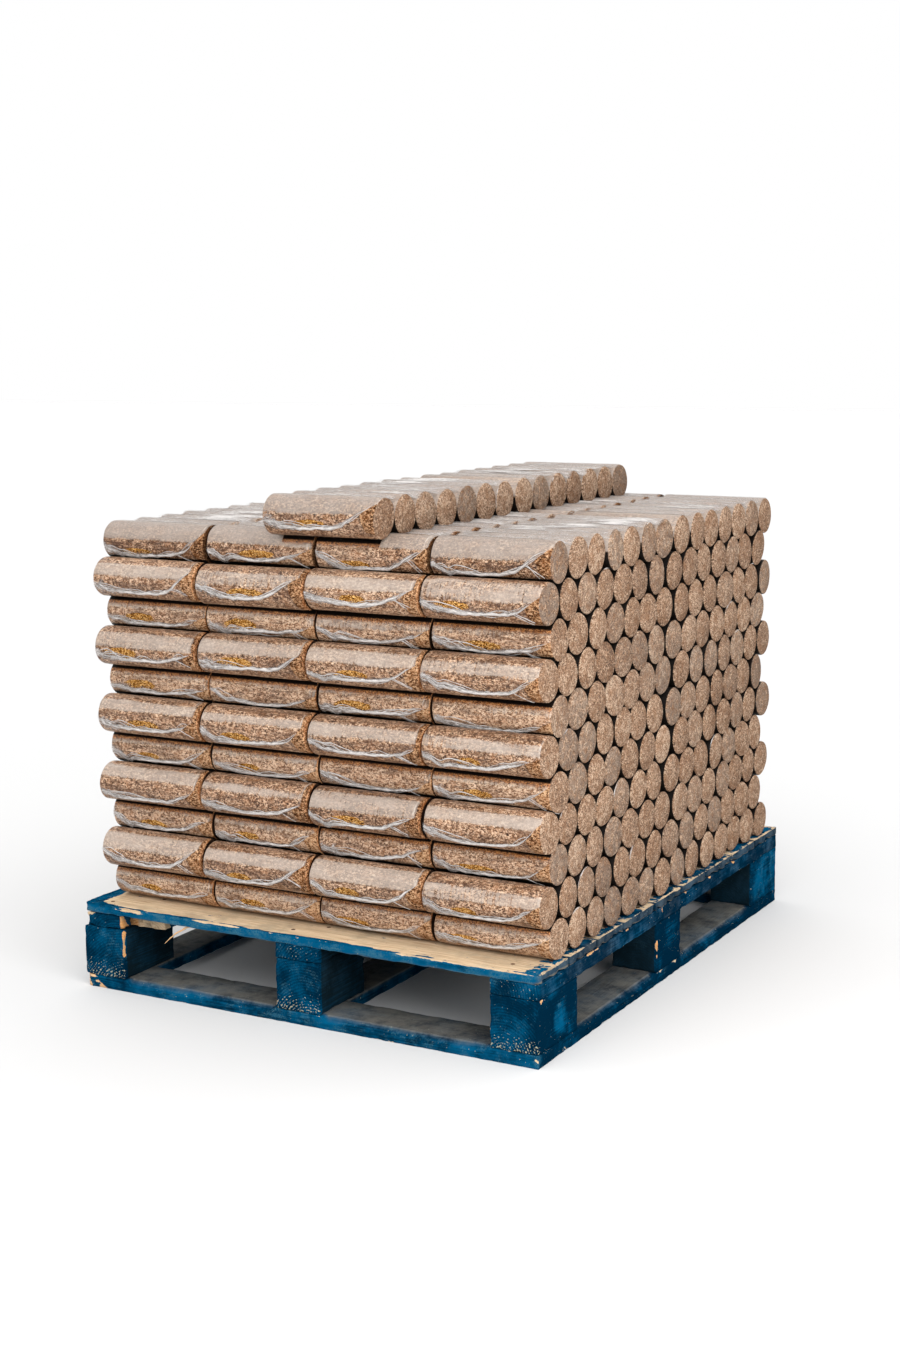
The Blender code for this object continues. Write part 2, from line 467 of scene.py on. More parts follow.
# What the end attribute says of an end: plain, or in a gap between columns in one of three kinds of row.
PLAIN_END, SKY_GAP, FORWARD_GAP, SET_BACK_GAP = 1.0, 1.3, 1.6, 2.0


def make_briquette_material():
    """Pressed wood, the film on it, the hole in the film, and the shade between briquettes."""
    material, shader, place = start_material("briquette_chips")
    seed, tone_shift, cut, deep, glare = map(attribute, ("seed", "tone", "end", "deep", "glare"))
    along, over, behind, rise = map(attribute, ("along", "over", "behind", "rise"))
    top_touch, low_touch = map(attribute, ("top_touch", "low_touch"))
    chips = place_group(chip_group, {"Vector": place, "Seed": seed, "Chip size": 0.36})
    film = place_group(haze_group, {"Vector": place, "Seed": seed})
    haze, streak = film["Haze"], film["Streak"]
    ragged = grain_of(place, 95.0)
    seam = add_node("UVMap", {}, uv_map="seam")
    hole = 1.0 - steps(length_of(seam) + ragged * 0.5, 1.16, 1.30)
    # The film stops at the rims, and right of the place where the seam climbs.
    torn = (ragged - 0.5) * 0.030
    below = 1.0 - steps(over, -0.001, 0.0015)
    past = along + torn + below * maths("MAXIMUM", 0.012, over * 1.2 + 0.098)
    open_side = steps(past, 0.966, 0.975)
    # A thin painted shadow along the film's edge, where it stands off the wood.
    hem_shadow = steps(past, 0.958, 0.964) * (1.0 - open_side)
    bare = maths("MAXIMUM", open_side, cut, clamp=True)
    # The wood's own colours: patches, flakes, specks.
    flat_cut = maths("MINIMUM", cut, 1.0)
    set_back = top_touch < 1.5
    value = (chips["Mottle"] - 0.5) * mix(flat_cut, 0.90, 0.58) + chips["Tone"] * 0.80 + chips["Patch"] * 0.44
    # Sides in set-back rows are painted lighter, as painted light against the shade of the row above.
    value = value + tone_shift + (1.0 - flat_cut) * set_back * 0.21
    value = value + (chips["Warm"] - 0.5) * flat_cut * -0.20 - 0.14
    wood = mix(chips["Warm"] * 0.40, ramp(value, CHIP_STOPS), WARM_WOOD)
    wood = mix(chips["Speck"] * mix(flat_cut, 0.80, 0.76), wood, BARK)
    wood = mix(chips["Pale"] * mix(flat_cut, 0.60, 0.20), wood, PALE_FLAKE)
    # In a hole in the film the bare wood is painted golden: its own colour with a painted warm light, thrown
    # back by the film around it.
    fresh = ramp(chips["Tone"], HOLE_WARM_LIGHT_STOPS)
    # The press scorches the side in long patches.
    scorch = grain_of(stretched(place, (0.20, 1.0, 1.0)), 96.0, 5.0, 0.74)
    side = mix(steps(scorch, 0.47, 0.62) * 0.64, wood, SCORCHED)
    orange = tinted(wood, (0.92, 0.69, 0.48))
    # Away from the painted sky reflection the side is painted darker and redder, as painted shade.
    side = mix(rest_of(glare) * 0.45, side, tinted(side, (0.76, 0.60, 0.50)))
    side = mix(open_side, side, tinted(orange, (0.86, 0.94, 1.06)))
    # Film above the seam is milky where it is stretched, and a painted reflection of the sky adds a band to
    # it, strongest where the film faces up; below the seam it is clear.
    above = steps(over, -0.002, 0.005)
    comb = grain_of(stretched(place, (1.0, 0.10, 0.10)), 300.0, 2.0, 0.6)
    edge = glare + (comb - 0.5) * 1.50 + (haze - 0.5) * 0.50
    sheen_band = steps(edge, 0.32, 0.72) * mix(haze, 0.62, 0.86) * mix(glare, 0.55, 1.0)
    sheen_band = maths("MINIMUM", sheen_band + maths("MAXIMUM", glare - 1.15, 0.0), 0.80)
    sheen_band = maths("MULTIPLY", (sheen_band + streak * 0.12) * mix(above, 0.28, 1.0), 1.0 - bare, clamp=True)
    under_sky = top_touch > 8.0
    milk_and_sky_sheen = mix(under_sky, MILK_AND_SKY_SHEEN, OPEN_MILK_AND_SKY_SHEEN)
    milk_and_sky_sheen = mix((1.0 - chips["Mottle"]) * 0.20, milk_and_sky_sheen, MILK_GRIT)
    side = mix(sheen_band, side, milk_and_sky_sheen)
    fringe = steps(past, 0.936, 0.948) * (1.0 - open_side) * steps(comb, 0.50, 0.60) * 0.50 * above
    side = mix(fringe, side, FILM_FRINGE)
    side = mix(hem_shadow * 0.45, side, FILM_HEM_SHADOW)
    side = mix(hole, side, fresh)
    # Where briquettes touch, and deep inside, there is only shade.
    out = SHOWN_R - behind
    angle = maths("ARCTAN2", rise, out)
    under = angle - top_touch
    contact_shade = steps(maths("MAXIMUM", under, low_touch - angle), -0.140, -0.040)
    tucked = steps(under + torn * 8.0, -0.38, -0.16) * set_back * 0.85
    side = mix(tucked, side, tinted(fresh, (0.84, 0.60, 0.52)))
    deep = maths("MAXIMUM", deep, contact_shade)
    side = mix(deep * 0.99, side, DEEP_SHADE)
    face = mix(0.24, tinted(wood, (0.87, 0.85, 0.83)), END_DUST)
    veiled = steps(maths("FRACT", seed * 7.3), 0.45, 0.95) * 0.50 * steps(ragged, 0.36, 0.60)
    face = mix(veiled, face, END_VEIL)
    # An end that looks into the narrow gap between two columns is bare and orange as far in as light
    # falls, which is the shape of the next briquette's rim moved back; further in it is painted shade.
    # The orange is painted brighter than the wood in gaps open to the sky and darker in the others, as
    # painted light and shade.
    ahead = add_node("CombineXYZ", {"X": out + mix(cut > 1.8, 0.0110, 0.0034), "Y": rise, "Z": 0.0})
    inward = SHOWN_R - length_of(ahead) + torn * 0.10
    shade = steps(inward, -0.0010, 0.0010) * mix(cut > 1.5, 0.6, 0.96)
    rim_face = tinted(orange, mix(cut < 1.5, (1.18, 1.20, 1.24), (0.48, 0.50, 0.52)))
    face = mix(cut > 1.2, face, mix(shade, rim_face, GAP_SHADE))
    bare = maths("MAXIMUM", hole, bare)
    height = chips["Height"] * mix(bare, 0.45, 1.0) + streak * 0.12
    feed(shader, {
        "Base Color": mix(flat_cut, side, face),
        "Roughness": mix(bare, mix(streak, 0.45, 0.65), 0.92),
        "Coat Weight": rest_of(maths("MAXIMUM", bare, deep)) * mix(haze, 0.30, 0.62),
        "Normal": bump(height, 0.8, 0.0012),
        "Coat Roughness": 0.30,
        "Coat IOR": 1.45,
        "Specular IOR Level": 0.06,
    })
    return material


briquette_material = make_briquette_material()

# %% [markdown]
# ## One briquette, then 630
#
# A briquette is a plain cylinder with worn rims. It is modelled once: a cylinder primitive laid on its
# side, whose two end rims are bevelled. There are 630 of them, so the plain one has only a few dozen
# faces. The ones at the front and the back show their whole length and get more sides.

# %% Model the two briquettes
LOG_LENGTH = 0.2325
LOG_PITCH = LOG_D + 0.0003
COLUMN_GAP = 0.0090
LAYERS = 11
COLUMNS = 4
LOGS_PER_PACK = 7
PACKS_DEEP = 2
PACK_GAP = 0.0100
RIM = 0.0030
RADIANS = math.pi / 180
SET_PER_BRIQUETTE = ("seed", "tone")
SET_PER_POINT = ("along", "over", "glare", "deep", "behind", "rise", "top_touch", "low_touch")


def model_briquette(name, sides, segments, cuts):
    """A cylinder along X with bevelled rims, cut across so that its width can vary along its length."""
    start_clean()
    bpy.ops.mesh.primitive_cylinder_add(
        vertices=sides, radius=SHOWN_R, depth=LOG_LENGTH, end_fill_type="NGON", rotation=(0, math.pi / 2, 0)
    )
    briquette = bpy.context.object
    briquette.name = name
    apply_all()
    set_mode("EDIT")
    half = LOG_LENGTH / 2
    edit_select(briquette, "edges", lambda e: all(abs(abs(v.co.x) - half) < 1e-5 for v in e.verts))
    bpy.ops.mesh.bevel(offset=RIM, segments=segments, profile=0.5, affect="EDGES")
    for number in range(1, cuts):
        bisect_all((-half + 2 * half * number / cuts, 0, 0), (1, 0, 0))
    set_mode("OBJECT")
    mesh = briquette.data
    ends = mesh.attributes.new("end", "FLOAT", "FACE")
    ends.data.foreach_set("value", [float(abs(face.normal.x) > 0.5) for face in mesh.polygons])
    for label in SET_PER_BRIQUETTE + SET_PER_POINT:
        mesh.attributes.new(label, "FLOAT", "POINT")
    new_uv(mesh, "seam")
    print(name, len(mesh.polygons), "faces")
    return briquette


plain_briquette = model_briquette("plain_briquette", 22, 1, 1)
shown_briquette = model_briquette("shown_briquette", 36, 2, 14)

# %% [markdown]
# ## The seam of a sleeve
#
# A sleeve is two webs of film welded along the front and the back of the pack. Heat draws the weld
# into a slack smile: it starts low at the left, dips, and climbs at the right. Over its dip the film
# has shrunk open into an oval hole. Each seam is described here by a few numbers, because both the
# hole in the briquette's material and the gathered film itself must follow the same line.

# %% Seam numbers
rng = random.Random(41)
HOLE_SHARE = 0.74
NO_HOLE = 40.0


def seam_line(seam, t):
    """The seam's angle round the briquette at t along it: a slack smile, steeper at the right."""
    dip_at, dip, turn_at, soft = seam["dip_at"], seam["dip"], seam["turn_at"], seam["soft"]
    rise = (seam["left"] - dip) * max(0.0, (dip_at - t) / dip_at) ** 2
    climb, full = (t - turn_at) / 0.2, (0.97 - turn_at) / 0.2
    rise += (seam["right"] - dip) * (climb + math.hypot(climb, soft)) / (full + math.hypot(full, soft))
    sway = 0.07 * wave(t * 5.5, seam["seed"], 0) + 0.03 * wave(t * 15, 0, seam["seed"])
    return dip + rise + sway - seam["peak"] * math.exp(-((t - 0.15) / 0.045) ** 2)


def make_seam(side, climb):
    """One seam's numbers; side is 1 at the front, and climb the range of its right end's angle."""
    dip_at = rng.uniform(0.32, 0.50)
    dip = rng.uniform(-46, -31) * RADIANS
    hole = rng.random() < HOLE_SHARE
    return {
        "side": side,
        "dip_at": dip_at,
        "dip": dip,
        "left": rng.uniform(-26, 2) * RADIANS,
        "right": rng.uniform(*climb) * RADIANS,
        "turn_at": rng.uniform(0.62, 0.84),
        "soft": rng.uniform(0.40, 0.85),
        "peak": rng.choice((0, 0, 5, 10, 14)) * RADIANS,
        "hole_at": dip_at + rng.uniform(-0.10, 0.04) if hole else NO_HOLE,
        "hole_long": rng.uniform(0.022, 0.044),
        "hole_tall": rng.uniform(0.0070, 0.0125),
        "hole_angle": dip + rng.uniform(15, 20) * RADIANS,
        "fan": rng.uniform(0.007, 0.015),
        "end": rng.uniform(0.88, 0.97),
        "sheen_band": (rng.uniform(-6, 14), rng.uniform(50, 76), rng.uniform(12, 22)),
        "seed": rng.uniform(0, 50),
        "fork": rng.random() < 0.85,
        "threads": rng.randint(1, 3),
    }


print("a seam:", sorted(make_seam(1, (0, 42))))

# %% [markdown]
# ## Where the briquettes lie
#
# Even layers stand half a briquette forward, so each one drops into the valleys below it. Hands stacked
# them, so nothing is exact: each is pushed a few millimetres, turned a little and cut a little askew.
# A seeded random generator gives the same pile every time.

# %% Placing a briquette
CEILING = cad_box[1][2] - 0.0001
WOBBLE = 0.006
# An angle in degrees that no point reaches, for a briquette with nothing on it or under it.
NOWHERE = 500
# "along" is held at these. The material bares the wood past 0.966, so 0.94 keeps film on to the rim.
HELD_IN_FILM, HELD_AT_HEM, NOT_HELD = 0.94, 0.968, 2.0


def bump_between(x, start, rise, fall, end):
    """0 outside start and end, 1 between rise and fall, smooth between."""
    return smooth((x - start) / (rise - start)) * smooth((end - x) / (end - fall))


def place_film(mesh, centre, seam, level, seed):
    """Says where each point is on its briquette, how milky its film is with the painted sky reflection, and
    where it is painted in shade, deep inside or against its neighbours.
    """
    side = seam["side"] if seam else 0
    exposed, forward = level["exposed"], level["forward"] == (side > 0)
    gap_right, gap_left = level["gaps"]
    # The film goes on to the rim at the pile's right side, and on most of the inner briquettes.
    sleeved = not gap_right or (not side and seed > 3.8)
    # The angles where a briquette presses on its neighbours; no light gets in beyond them.
    top_touch, low_touch = (101, -76) if forward else (38, -50)
    if exposed or not seam:
        top_touch = NOWHERE
    if level["lowest"] or not seam:
        low_touch = -NOWHERE
    points = []
    for vert in mesh.vertices:
        along, rise = (vert.co.x - centre.x) / LOG_LENGTH + 0.5, vert.co.z - centre.z
        over, behind = 1.0, 0.02
        # On an open layer the upper half gets the painted sky reflection.
        glare = level["shine"] if exposed and rise > 0 else 0.0
        # A point with neither a seam nor the painted sky reflection lies inside the pile and is painted in
        # shade.
        deep = 0.0 if seam or glare else 1.0
        touch = top_touch
        if seam:
            angle = math.atan2(rise, side * (centre.y - vert.co.y))
            over = (angle - seam_line(seam, along)) * SHOWN_R
            behind = SHOWN_R - side * (centre.y - vert.co.y)
            low, high, soft = seam["sheen_band"]
            # Under an open sky the painted sky reflection goes on over the top.
            high = 400 if exposed else high
            glare = level["shine"] * bump_between(math.degrees(angle), low, low + soft, high - soft, high)
            # At the front the loose row on top lies over a part of the layer below it, and painted shade
            # falls on that part.
            if side > 0 and level["covered"] and level["covered"][0] < vert.co.x < level["covered"][1]:
                touch = 38
        along = min(along, HELD_IN_FILM if sleeved else NOT_HELD if forward else HELD_AT_HEM)
        points.append((along, over, glare, deep, behind, rise, touch * RADIANS, low_touch * RADIANS))
    for label, numbers in zip(SET_PER_POINT, zip(*points)):
        mesh.attributes[label].data.foreach_set("value", numbers)
    ends = mesh.attributes["end"].data
    for face in mesh.polygons:
        if ends[face.index].value > 0.5 and (gap_right if face.normal.x > 0 else gap_left):
            bare_end = FORWARD_GAP if forward else SET_BACK_GAP
            ends[face.index].value = (PLAIN_END if sleeved else SKY_GAP) if exposed else bare_end


def place_seam(mesh, centre, seam):
    """UV coordinates centred on the hole in the film; far away where the briquette has none."""
    layer = mesh.uv_layers["seam"].data
    for corner in mesh.loops:
        uv = (9.0, 9.0)
        if seam:
            co = mesh.vertices[corner.vertex_index].co
            angle = math.atan2(co.z - centre.z, seam["side"] * (centre.y - co.y))
            along = (co.x - centre.x) / LOG_LENGTH + 0.5
            across = (along - seam["hole_at"]) * LOG_LENGTH / seam["hole_long"]
            uv = (across, (angle - seam["hole_angle"]) * LOG_R / seam["hole_tall"])
        layer[corner.index].uv = uv


def place_briquette(master, name, centre, seam, level):
    """A copy of the master at its centre, with its own small faults."""
    obj = copy_of(master, name)
    mesh = obj.data
    seed = rng.uniform(0.0, 9.0)
    # The shown briquettes of the two open layers are painted darker, as painted shade against the stronger
    # light from above.
    tone = rng.gauss(0.0, 0.045) - (0.10 if level["exposed"] and seam else 0.0)
    stretch = 1.008 + rng.uniform(-0.006, 0.003)
    # The columns of a layer that is set back stand closer together.
    closer = 0.0 if level["exposed"] or level["forward"] else 0.018
    reach = [stretch + closer * gap for gap in level["gaps"]]
    ovality = rng.uniform(-0.008, 0.004)
    saw = [(rng.gauss(0, 0.03), rng.gauss(0, 0.03)) for _ in range(2)]
    turn = Matrix.Rotation(rng.gauss(0, WOBBLE), 4, "Z") @ Matrix.Rotation(rng.gauss(0, WOBBLE * 0.5), 4, "Y")
    roll = Matrix.Rotation(rng.uniform(0, math.tau), 4, "X")
    for vert in mesh.vertices:
        co = roll @ vert.co
        end = 0 if co.x > 0 else 1
        far = abs(co.x) / (LOG_LENGTH / 2)
        swell = 0.996 + 0.010 * wave(co.x * 30 + seed * 9, co.y * 45, co.z * 45) * (0.4 + 0.6 * far)
        if far > 0.95:
            swell -= 0.015 * (0.5 + wave(seed * 5 + co.x * 4, co.y * 70, co.z * 70))
        co.y *= swell * (1.0 + ovality)
        co.z *= swell
        co.x = co.x * reach[end] + far * (co.y * saw[end][0] + co.z * saw[end][1])
        vert.co = turn @ co
    mesh.transform(Matrix.Translation(centre))
    for vert in mesh.vertices:
        vert.co.z = min(vert.co.z, CEILING)
    for label, value in zip(SET_PER_BRIQUETTE, (seed, tone)):
        mesh.attributes[label].data.foreach_set("value", [value] * len(mesh.vertices))
    place_film(mesh, centre, seam, level, seed)
    place_seam(mesh, centre, seam)
    return obj


# %% Build the layers of briquettes
LAST = LOGS_PER_PACK * PACKS_DEEP - 1
PUSHED = 0.0016
seams = []
top_packs = []
end_places = []


def row_places(node):
    """Every briquette of a layer: centre, column, and its number from the front."""
    low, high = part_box(node)
    places = []
    for column in range(1 if node == "top_row" else COLUMNS):
        slack = (rng.gauss(0, 0.0006), rng.gauss(0, 0.0016))
        for number in range(LAST + 1):
            pack = number // LOGS_PER_PACK
            along = column * (LOG_LENGTH + COLUMN_GAP) + LOG_LENGTH / 2
            back = number * LOG_PITCH + pack * PACK_GAP
            places.append((Vector((
                low[0] + (along + clamp(rng.gauss(0, 0.0012), -PUSHED, PUSHED)),
                low[1] + LOG_R + (back + slack[pack] + rng.gauss(0, 0.0005)),
                (low[2] + high[2]) / 2 + rng.gauss(0, 0.0005),
            )), column, number))
    return places


def build_layer(node):
    """All the briquettes of a layer, joined; notes its seams, ends and top packs for the film."""
    made = []
    loose = node == "top_row"
    exposed = loose or node == "layer_11"
    forward = loose or int(node[-2:]) % 2 == 0
    level = {
        "exposed": exposed, "forward": forward, "lowest": node == "layer_01",
        "covered": [corner[0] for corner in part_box("top_row")] if node == "layer_11" else None,
    }
    # The painted sky reflection is strongest on the open layers and weakest on the set-back rows, which the
    # row above shades.
    brightness = 1.35 if exposed else 1.0 if forward else 0.70
    places = row_places(node)
    for centre, column, number in places:
        seam = None
        if number in (0, LAST):
            seam = make_seam(1 if number == 0 else -1, (0, 42) if forward or exposed else (-12, 18))
            seams.append((centre, seam))
        level["shine"] = brightness * rng.uniform(0.80, 1.15)
        level["gaps"] = (not loose and column < COLUMNS - 1, not loose and column > 0)
        master = shown_briquette if seam else plain_briquette
        made.append(place_briquette(master, f"{node}_{column}_{number}", centre, seam, level))
        for gap, out in zip(level["gaps"], (1, -1)):
            if not gap:
                end_places.append((centre, out))
    if exposed:
        for start in range(0, len(places), LOGS_PER_PACK):
            top_packs.append([place[0] for place in places[start:start + LOGS_PER_PACK]])
    joined = join_pieces(made, "briquettes_" + node.replace("layer_", ""))
    joined.data.shade_smooth()
    bpy.ops.object.shade_smooth_by_angle(angle=math.radians(50))
    finish_piece(joined, briquette_material, "pressed_wood", [node])


for node in [f"layer_{number:02d}" for number in range(1, LAYERS + 1)] + ["top_row"]:
    build_layer(node)
for master in (plain_briquette, shown_briquette):
    bpy.data.objects.remove(master, do_unlink=True)

# %% [markdown]
# ## Shrink film
#
# The film that stands off the wood is modelled: the gathered seams at the front and the back, the
# threads that were drawn out of them, and the sheets that bridge the valleys of the top packs. Each is
# a grid, modelled once for its kind; a copy is laid along its path by code, because gathered film has
# no flat or round parts that a hand would model. Shrinking ended in welds and tears, not in cloth, so
# it isn't cut to a size as a cloth would be.

# %% Material: shrink film
FILM_DARK = (0.270, 0.245, 0.232)
FILM_PALE = (0.650, 0.612, 0.588)
FILM_MILKY = (0.690, 0.672, 0.655)


def make_film_material():
    """Clear film in drawn folds, milky where it is dense."""
    material, shader, place = start_material("shrink_film")
    lay = add_node("UVMap", {}, uv_map="lay")
    veil = attribute("veil")
    drawn = grain_of(stretched(lay, (70.0, 900.0, 1.0)), 1.0, 4.0, 0.65, 0.4)
    fine = grain_of(stretched(lay, (160.0, 2300.0, 1.0)), 1.0, 2.0, 0.6, 0.2)
    cloud = grain_of(place, 120.0, 4.0, 0.6)
    thick = (drawn - 0.5) * 1.5 + (fine - 0.5) * 1.2 + (cloud - 0.5) * 0.5 + veil
    bright = drawn + (veil - 0.6) * 0.28
    tint = mix(steps(bright, 0.36, 0.66), FILM_DARK, FILM_PALE)
    # Where the film is drawn milky it is nearly white.
    strands = grain_of(stretched(lay, (34.0, 230.0, 1.0)), 1.0, 4.0, 0.7)
    milky = steps(veil, 1.05, 1.70) * mix(steps(strands, 0.44, 0.60), 0.12, 0.88)
    feed(shader, {
        "Base Color": mix(milky, tint, FILM_MILKY),
        "Roughness": mix(drawn, 0.22, 0.46),
        "Alpha": steps(thick, 0.12, 0.92) * 0.94,
        "Normal": bump(drawn + fine * 0.4, 0.8, 0.0008),
        "Specular IOR Level": 0.6,
    })
    return material


film_material = make_film_material()

# %% Film helpers
FILM_R = SHOWN_R + 0.0007


def model_grid(name, along, across):
    """A flat two-metre grid; its X and Y become the place along and across a strip of film."""
    start_clean()
    bpy.ops.mesh.primitive_grid_add(x_subdivisions=along, y_subdivisions=across, size=2.0)
    grid = bpy.context.object
    grid.name = name
    new_uv(grid.data, "lay")
    grid.data.attributes.new("veil", "FLOAT", "POINT")
    print(name, len(grid.data.polygons), "faces")
    return grid


def lay_film(master, place, size, flip=False):
    """A copy of the grid laid by place(u, v), which gives a point and how dense the film is there."""
    obj = copy_of(master, "film")
    mesh = obj.data
    shift = rng.uniform(0, 20)
    layer = mesh.uv_layers["lay"].data
    for corner in mesh.loops:
        co = mesh.vertices[corner.vertex_index].co
        layer[corner.index].uv = ((co.x + 1) / 2 * size[0] + shift, (co.y + 1) / 2 * size[1] + shift * 0.37)
    dense = []
    for vert in mesh.vertices:
        point, density = place((vert.co.x + 1) / 2, vert.co.y)
        vert.co = (point.x, point.y, min(point.z, CEILING))
        dense.append(density)
    mesh.attributes["veil"].data.foreach_set("value", dense)
    if flip:
        mesh.flip_normals()
    return obj


def finish_film(made, name):
    joined = join_pieces(made, name)
    joined.data.shade_smooth()
    finish_piece(joined, film_material)


def round_log(centre, side, t, angle, lift):
    """A point on a briquette, at t along it, at an angle round it, raised by lift."""
    radius = FILM_R + lift
    away = Vector(((t - 0.5) * LOG_LENGTH, -side * radius * math.cos(angle), radius * math.sin(angle)))
    return centre + away


def arch(u, margin):
    """A half wave over u from 0 to 1, cut off a margin before its ends."""
    return math.sin(math.pi * clamp(u, margin, 1 - margin))


seam_grid = model_grid("seam_grid", 60, 6)
veil_grid = model_grid("veil_grid", 30, 5)
thread_grid = model_grid("thread_grid", 22, 2)
sheet_grid = model_grid("sheet_grid", 22, 84)

# %% [markdown]
# ## The gathered seams
#
# Where two webs were welded, the film shrank into a rope-like ridge: a wide gathered fan at the left,
# narrow and dense in the middle, and drawn out to a thread where it climbs at the right. Finer threads
# leave it and join it again, and one forks off downwards near the right end.

# %% Shapes of a seam
SEAM_WIDTHS = ((0.30, 0.0058), (0.50, 0.0042), (0.74, 0.0042), (0.88, 0.0032), (1.0, 0.0012))


def seam_width(fan, t):
    """A smooth curve through a few widths along the seam."""
    points = ((0.0, fan), (0.12, fan * 1.1), *SEAM_WIDTHS)
    for (t0, w0), (t1, w1) in zip(points, points[1:]):
        if t <= t1:
            return w0 + (w1 - w0) * smooth((t - t0) / (t1 - t0))
    return SEAM_WIDTHS[-1][1]


def main_place(centre, seam):
    """The gathered ridge itself."""
    seed = seam["seed"]

    def place(u, v):
        t = seam["end"] * u
        wide = seam_width(seam["fan"], u)
        ragged = 1.0 + 0.85 * wave(u * 17, seed, v * 1.3)
        angle = seam_line(seam, t) + (v * wide * ragged + 0.0028 * wave(u * 9, seed + 5, 0)) / FILM_R
        ridge = (1 - v * v) * (0.0029 + 0.0013 * wave(u * 14, v * 4.5, seed))
        ridge = ridge * min(1.0, 0.35 + 5 * u * (1 - u))
        dense = 1.02 - 0.78 * abs(v) ** 2.4 + 0.26 * wave(u * 26, v * 2, seed)
        dense -= 0.44 * min(1.0, max(0.0, wide - 0.004) / 0.004) + 0.40 * max(0.0, u - 0.70) / 0.30
        inner = 0.0 < u < 1.0
        return round_log(centre, seam["side"], t, angle, ridge * inner), dense * (1.0 if inner else 0.6)

    return place


def veil_place(centre, seam, up, reach, strength):
    """A faint skirt of drawn film above the seam (up 1) or below it (up -1)."""
    seed = seam["seed"] + 9 * up

    def place(u, v):
        t = 0.01 + 0.95 * u
        across = (v + 1) / 2
        wide = reach * (0.45 + 0.9 * abs(wave(u * 5, seed, 0))) * (1.25 - 0.7 * u)
        angle = seam_line(seam, t) + up * across * wide / FILM_R
        dense = strength * (1 - across) ** 1.3 + 0.20 * wave(u * 9, across * 2, seed)
        lift = 0.0004 + 0.0006 * across * (1 - across)
        return round_log(centre, seam["side"], t, angle, lift), dense * min(1.0, 6 * (1 - u))

    return place


def thread_place(centre, seam, start, end, bow, drop, wide):
    """A drawn thread from start to end along the seam; it bows away, and may end lower by drop."""
    seed = rng.uniform(0, 30)

    def place(u, v):
        t = start + (end - start) * u
        away = bow * math.sin(math.pi * u) ** 0.8 + drop * u ** 1.3
        away += 0.020 * wave(u * 4, seed, 0) * math.sin(math.pi * u)
        angle = seam_line(seam, start + (t - start) * 0.25 if drop else t) + away
        angle += v * wide * (0.45 + 0.55 * arch(u, 0.04)) / FILM_R
        middle = 1 - v * v
        return round_log(centre, seam["side"], t, angle, 0.0003 + 0.0009 * middle), 0.62 + 0.30 * middle

    return place


print("widths along a seam:", [round(seam_width(0.011, t / 4), 4) for t in range(5)])

# %% Lay the seams
def film_of_seam(centre, seam):
    """The ridge, its skirts and its threads."""
    made = []

    def lay(master, place, size):
        made.append(lay_film(master, place, size, seam["side"] < 0))

    def thread(start, end, bow, drop, wide, long):
        lay(thread_grid, thread_place(centre, seam, start, end, bow, drop, wide), (long, 0.002))

    lay(seam_grid, main_place(centre, seam), (LOG_LENGTH, 0.012))
    lay(veil_grid, veil_place(centre, seam, 1, 0.018, 0.74), (LOG_LENGTH, 0.020))
    if rng.random() < 0.75:
        lay(veil_grid, veil_place(centre, seam, -1, 0.010, 0.55), (LOG_LENGTH, 0.012))
    for _ in range(seam["threads"] + 1):
        start = rng.uniform(0.16, 0.60)
        end = min(start + rng.uniform(0.16, 0.34), 0.96)
        bow = rng.choice((1, 1, 1, -1)) * rng.uniform(0.05, 0.24)
        thread(start, end, bow, 0.0, rng.uniform(0.0006, 0.0010), 0.06)
    if seam["fork"]:
        start = rng.uniform(0.73, 0.84)
        drop = rng.uniform(-46, -26) * RADIANS
        for number in range(rng.choice((1, 2, 2, 3))):
            end = min(start + rng.uniform(0.08, 0.17), 0.95)
            turned = drop * rng.uniform(0.75, 1.15)
            thread(start - 0.015 * number, end, 0.0, turned, rng.uniform(0.0007, 0.0014), 0.04)
    for _ in range(2):
        start, bow = rng.uniform(0.66, 0.80), rng.uniform(-0.10, 0.22)
        thread(start, rng.uniform(0.90, 0.97), bow, 0.0, rng.uniform(0.0005, 0.0009), 0.05)
    for _ in range(5):
        start, bow = rng.uniform(0.0, 0.06), rng.uniform(-0.16, 0.40)
        thread(start, rng.uniform(0.22, 0.52), bow, 0.0, rng.uniform(0.0005, 0.0012), 0.07)
    return made


for side, label in ((1, "front"), (-1, "back")):
    strips = []
    for centre, seam in seams:
        if seam["side"] == side:
            strips += film_of_seam(centre, seam)
    finish_film(strips, "film_seams_" + label)

# %% [markdown]
# ## Film over the top packs
#
# From crest to crest the film hangs a few millimetres into each valley, and deeper towards the open
# ends, where it was drawn in. It comes down over the front and the back briquette as far as the seam.

# %% Lay the top sheets
SIDE_DROP = 58 * RADIANS


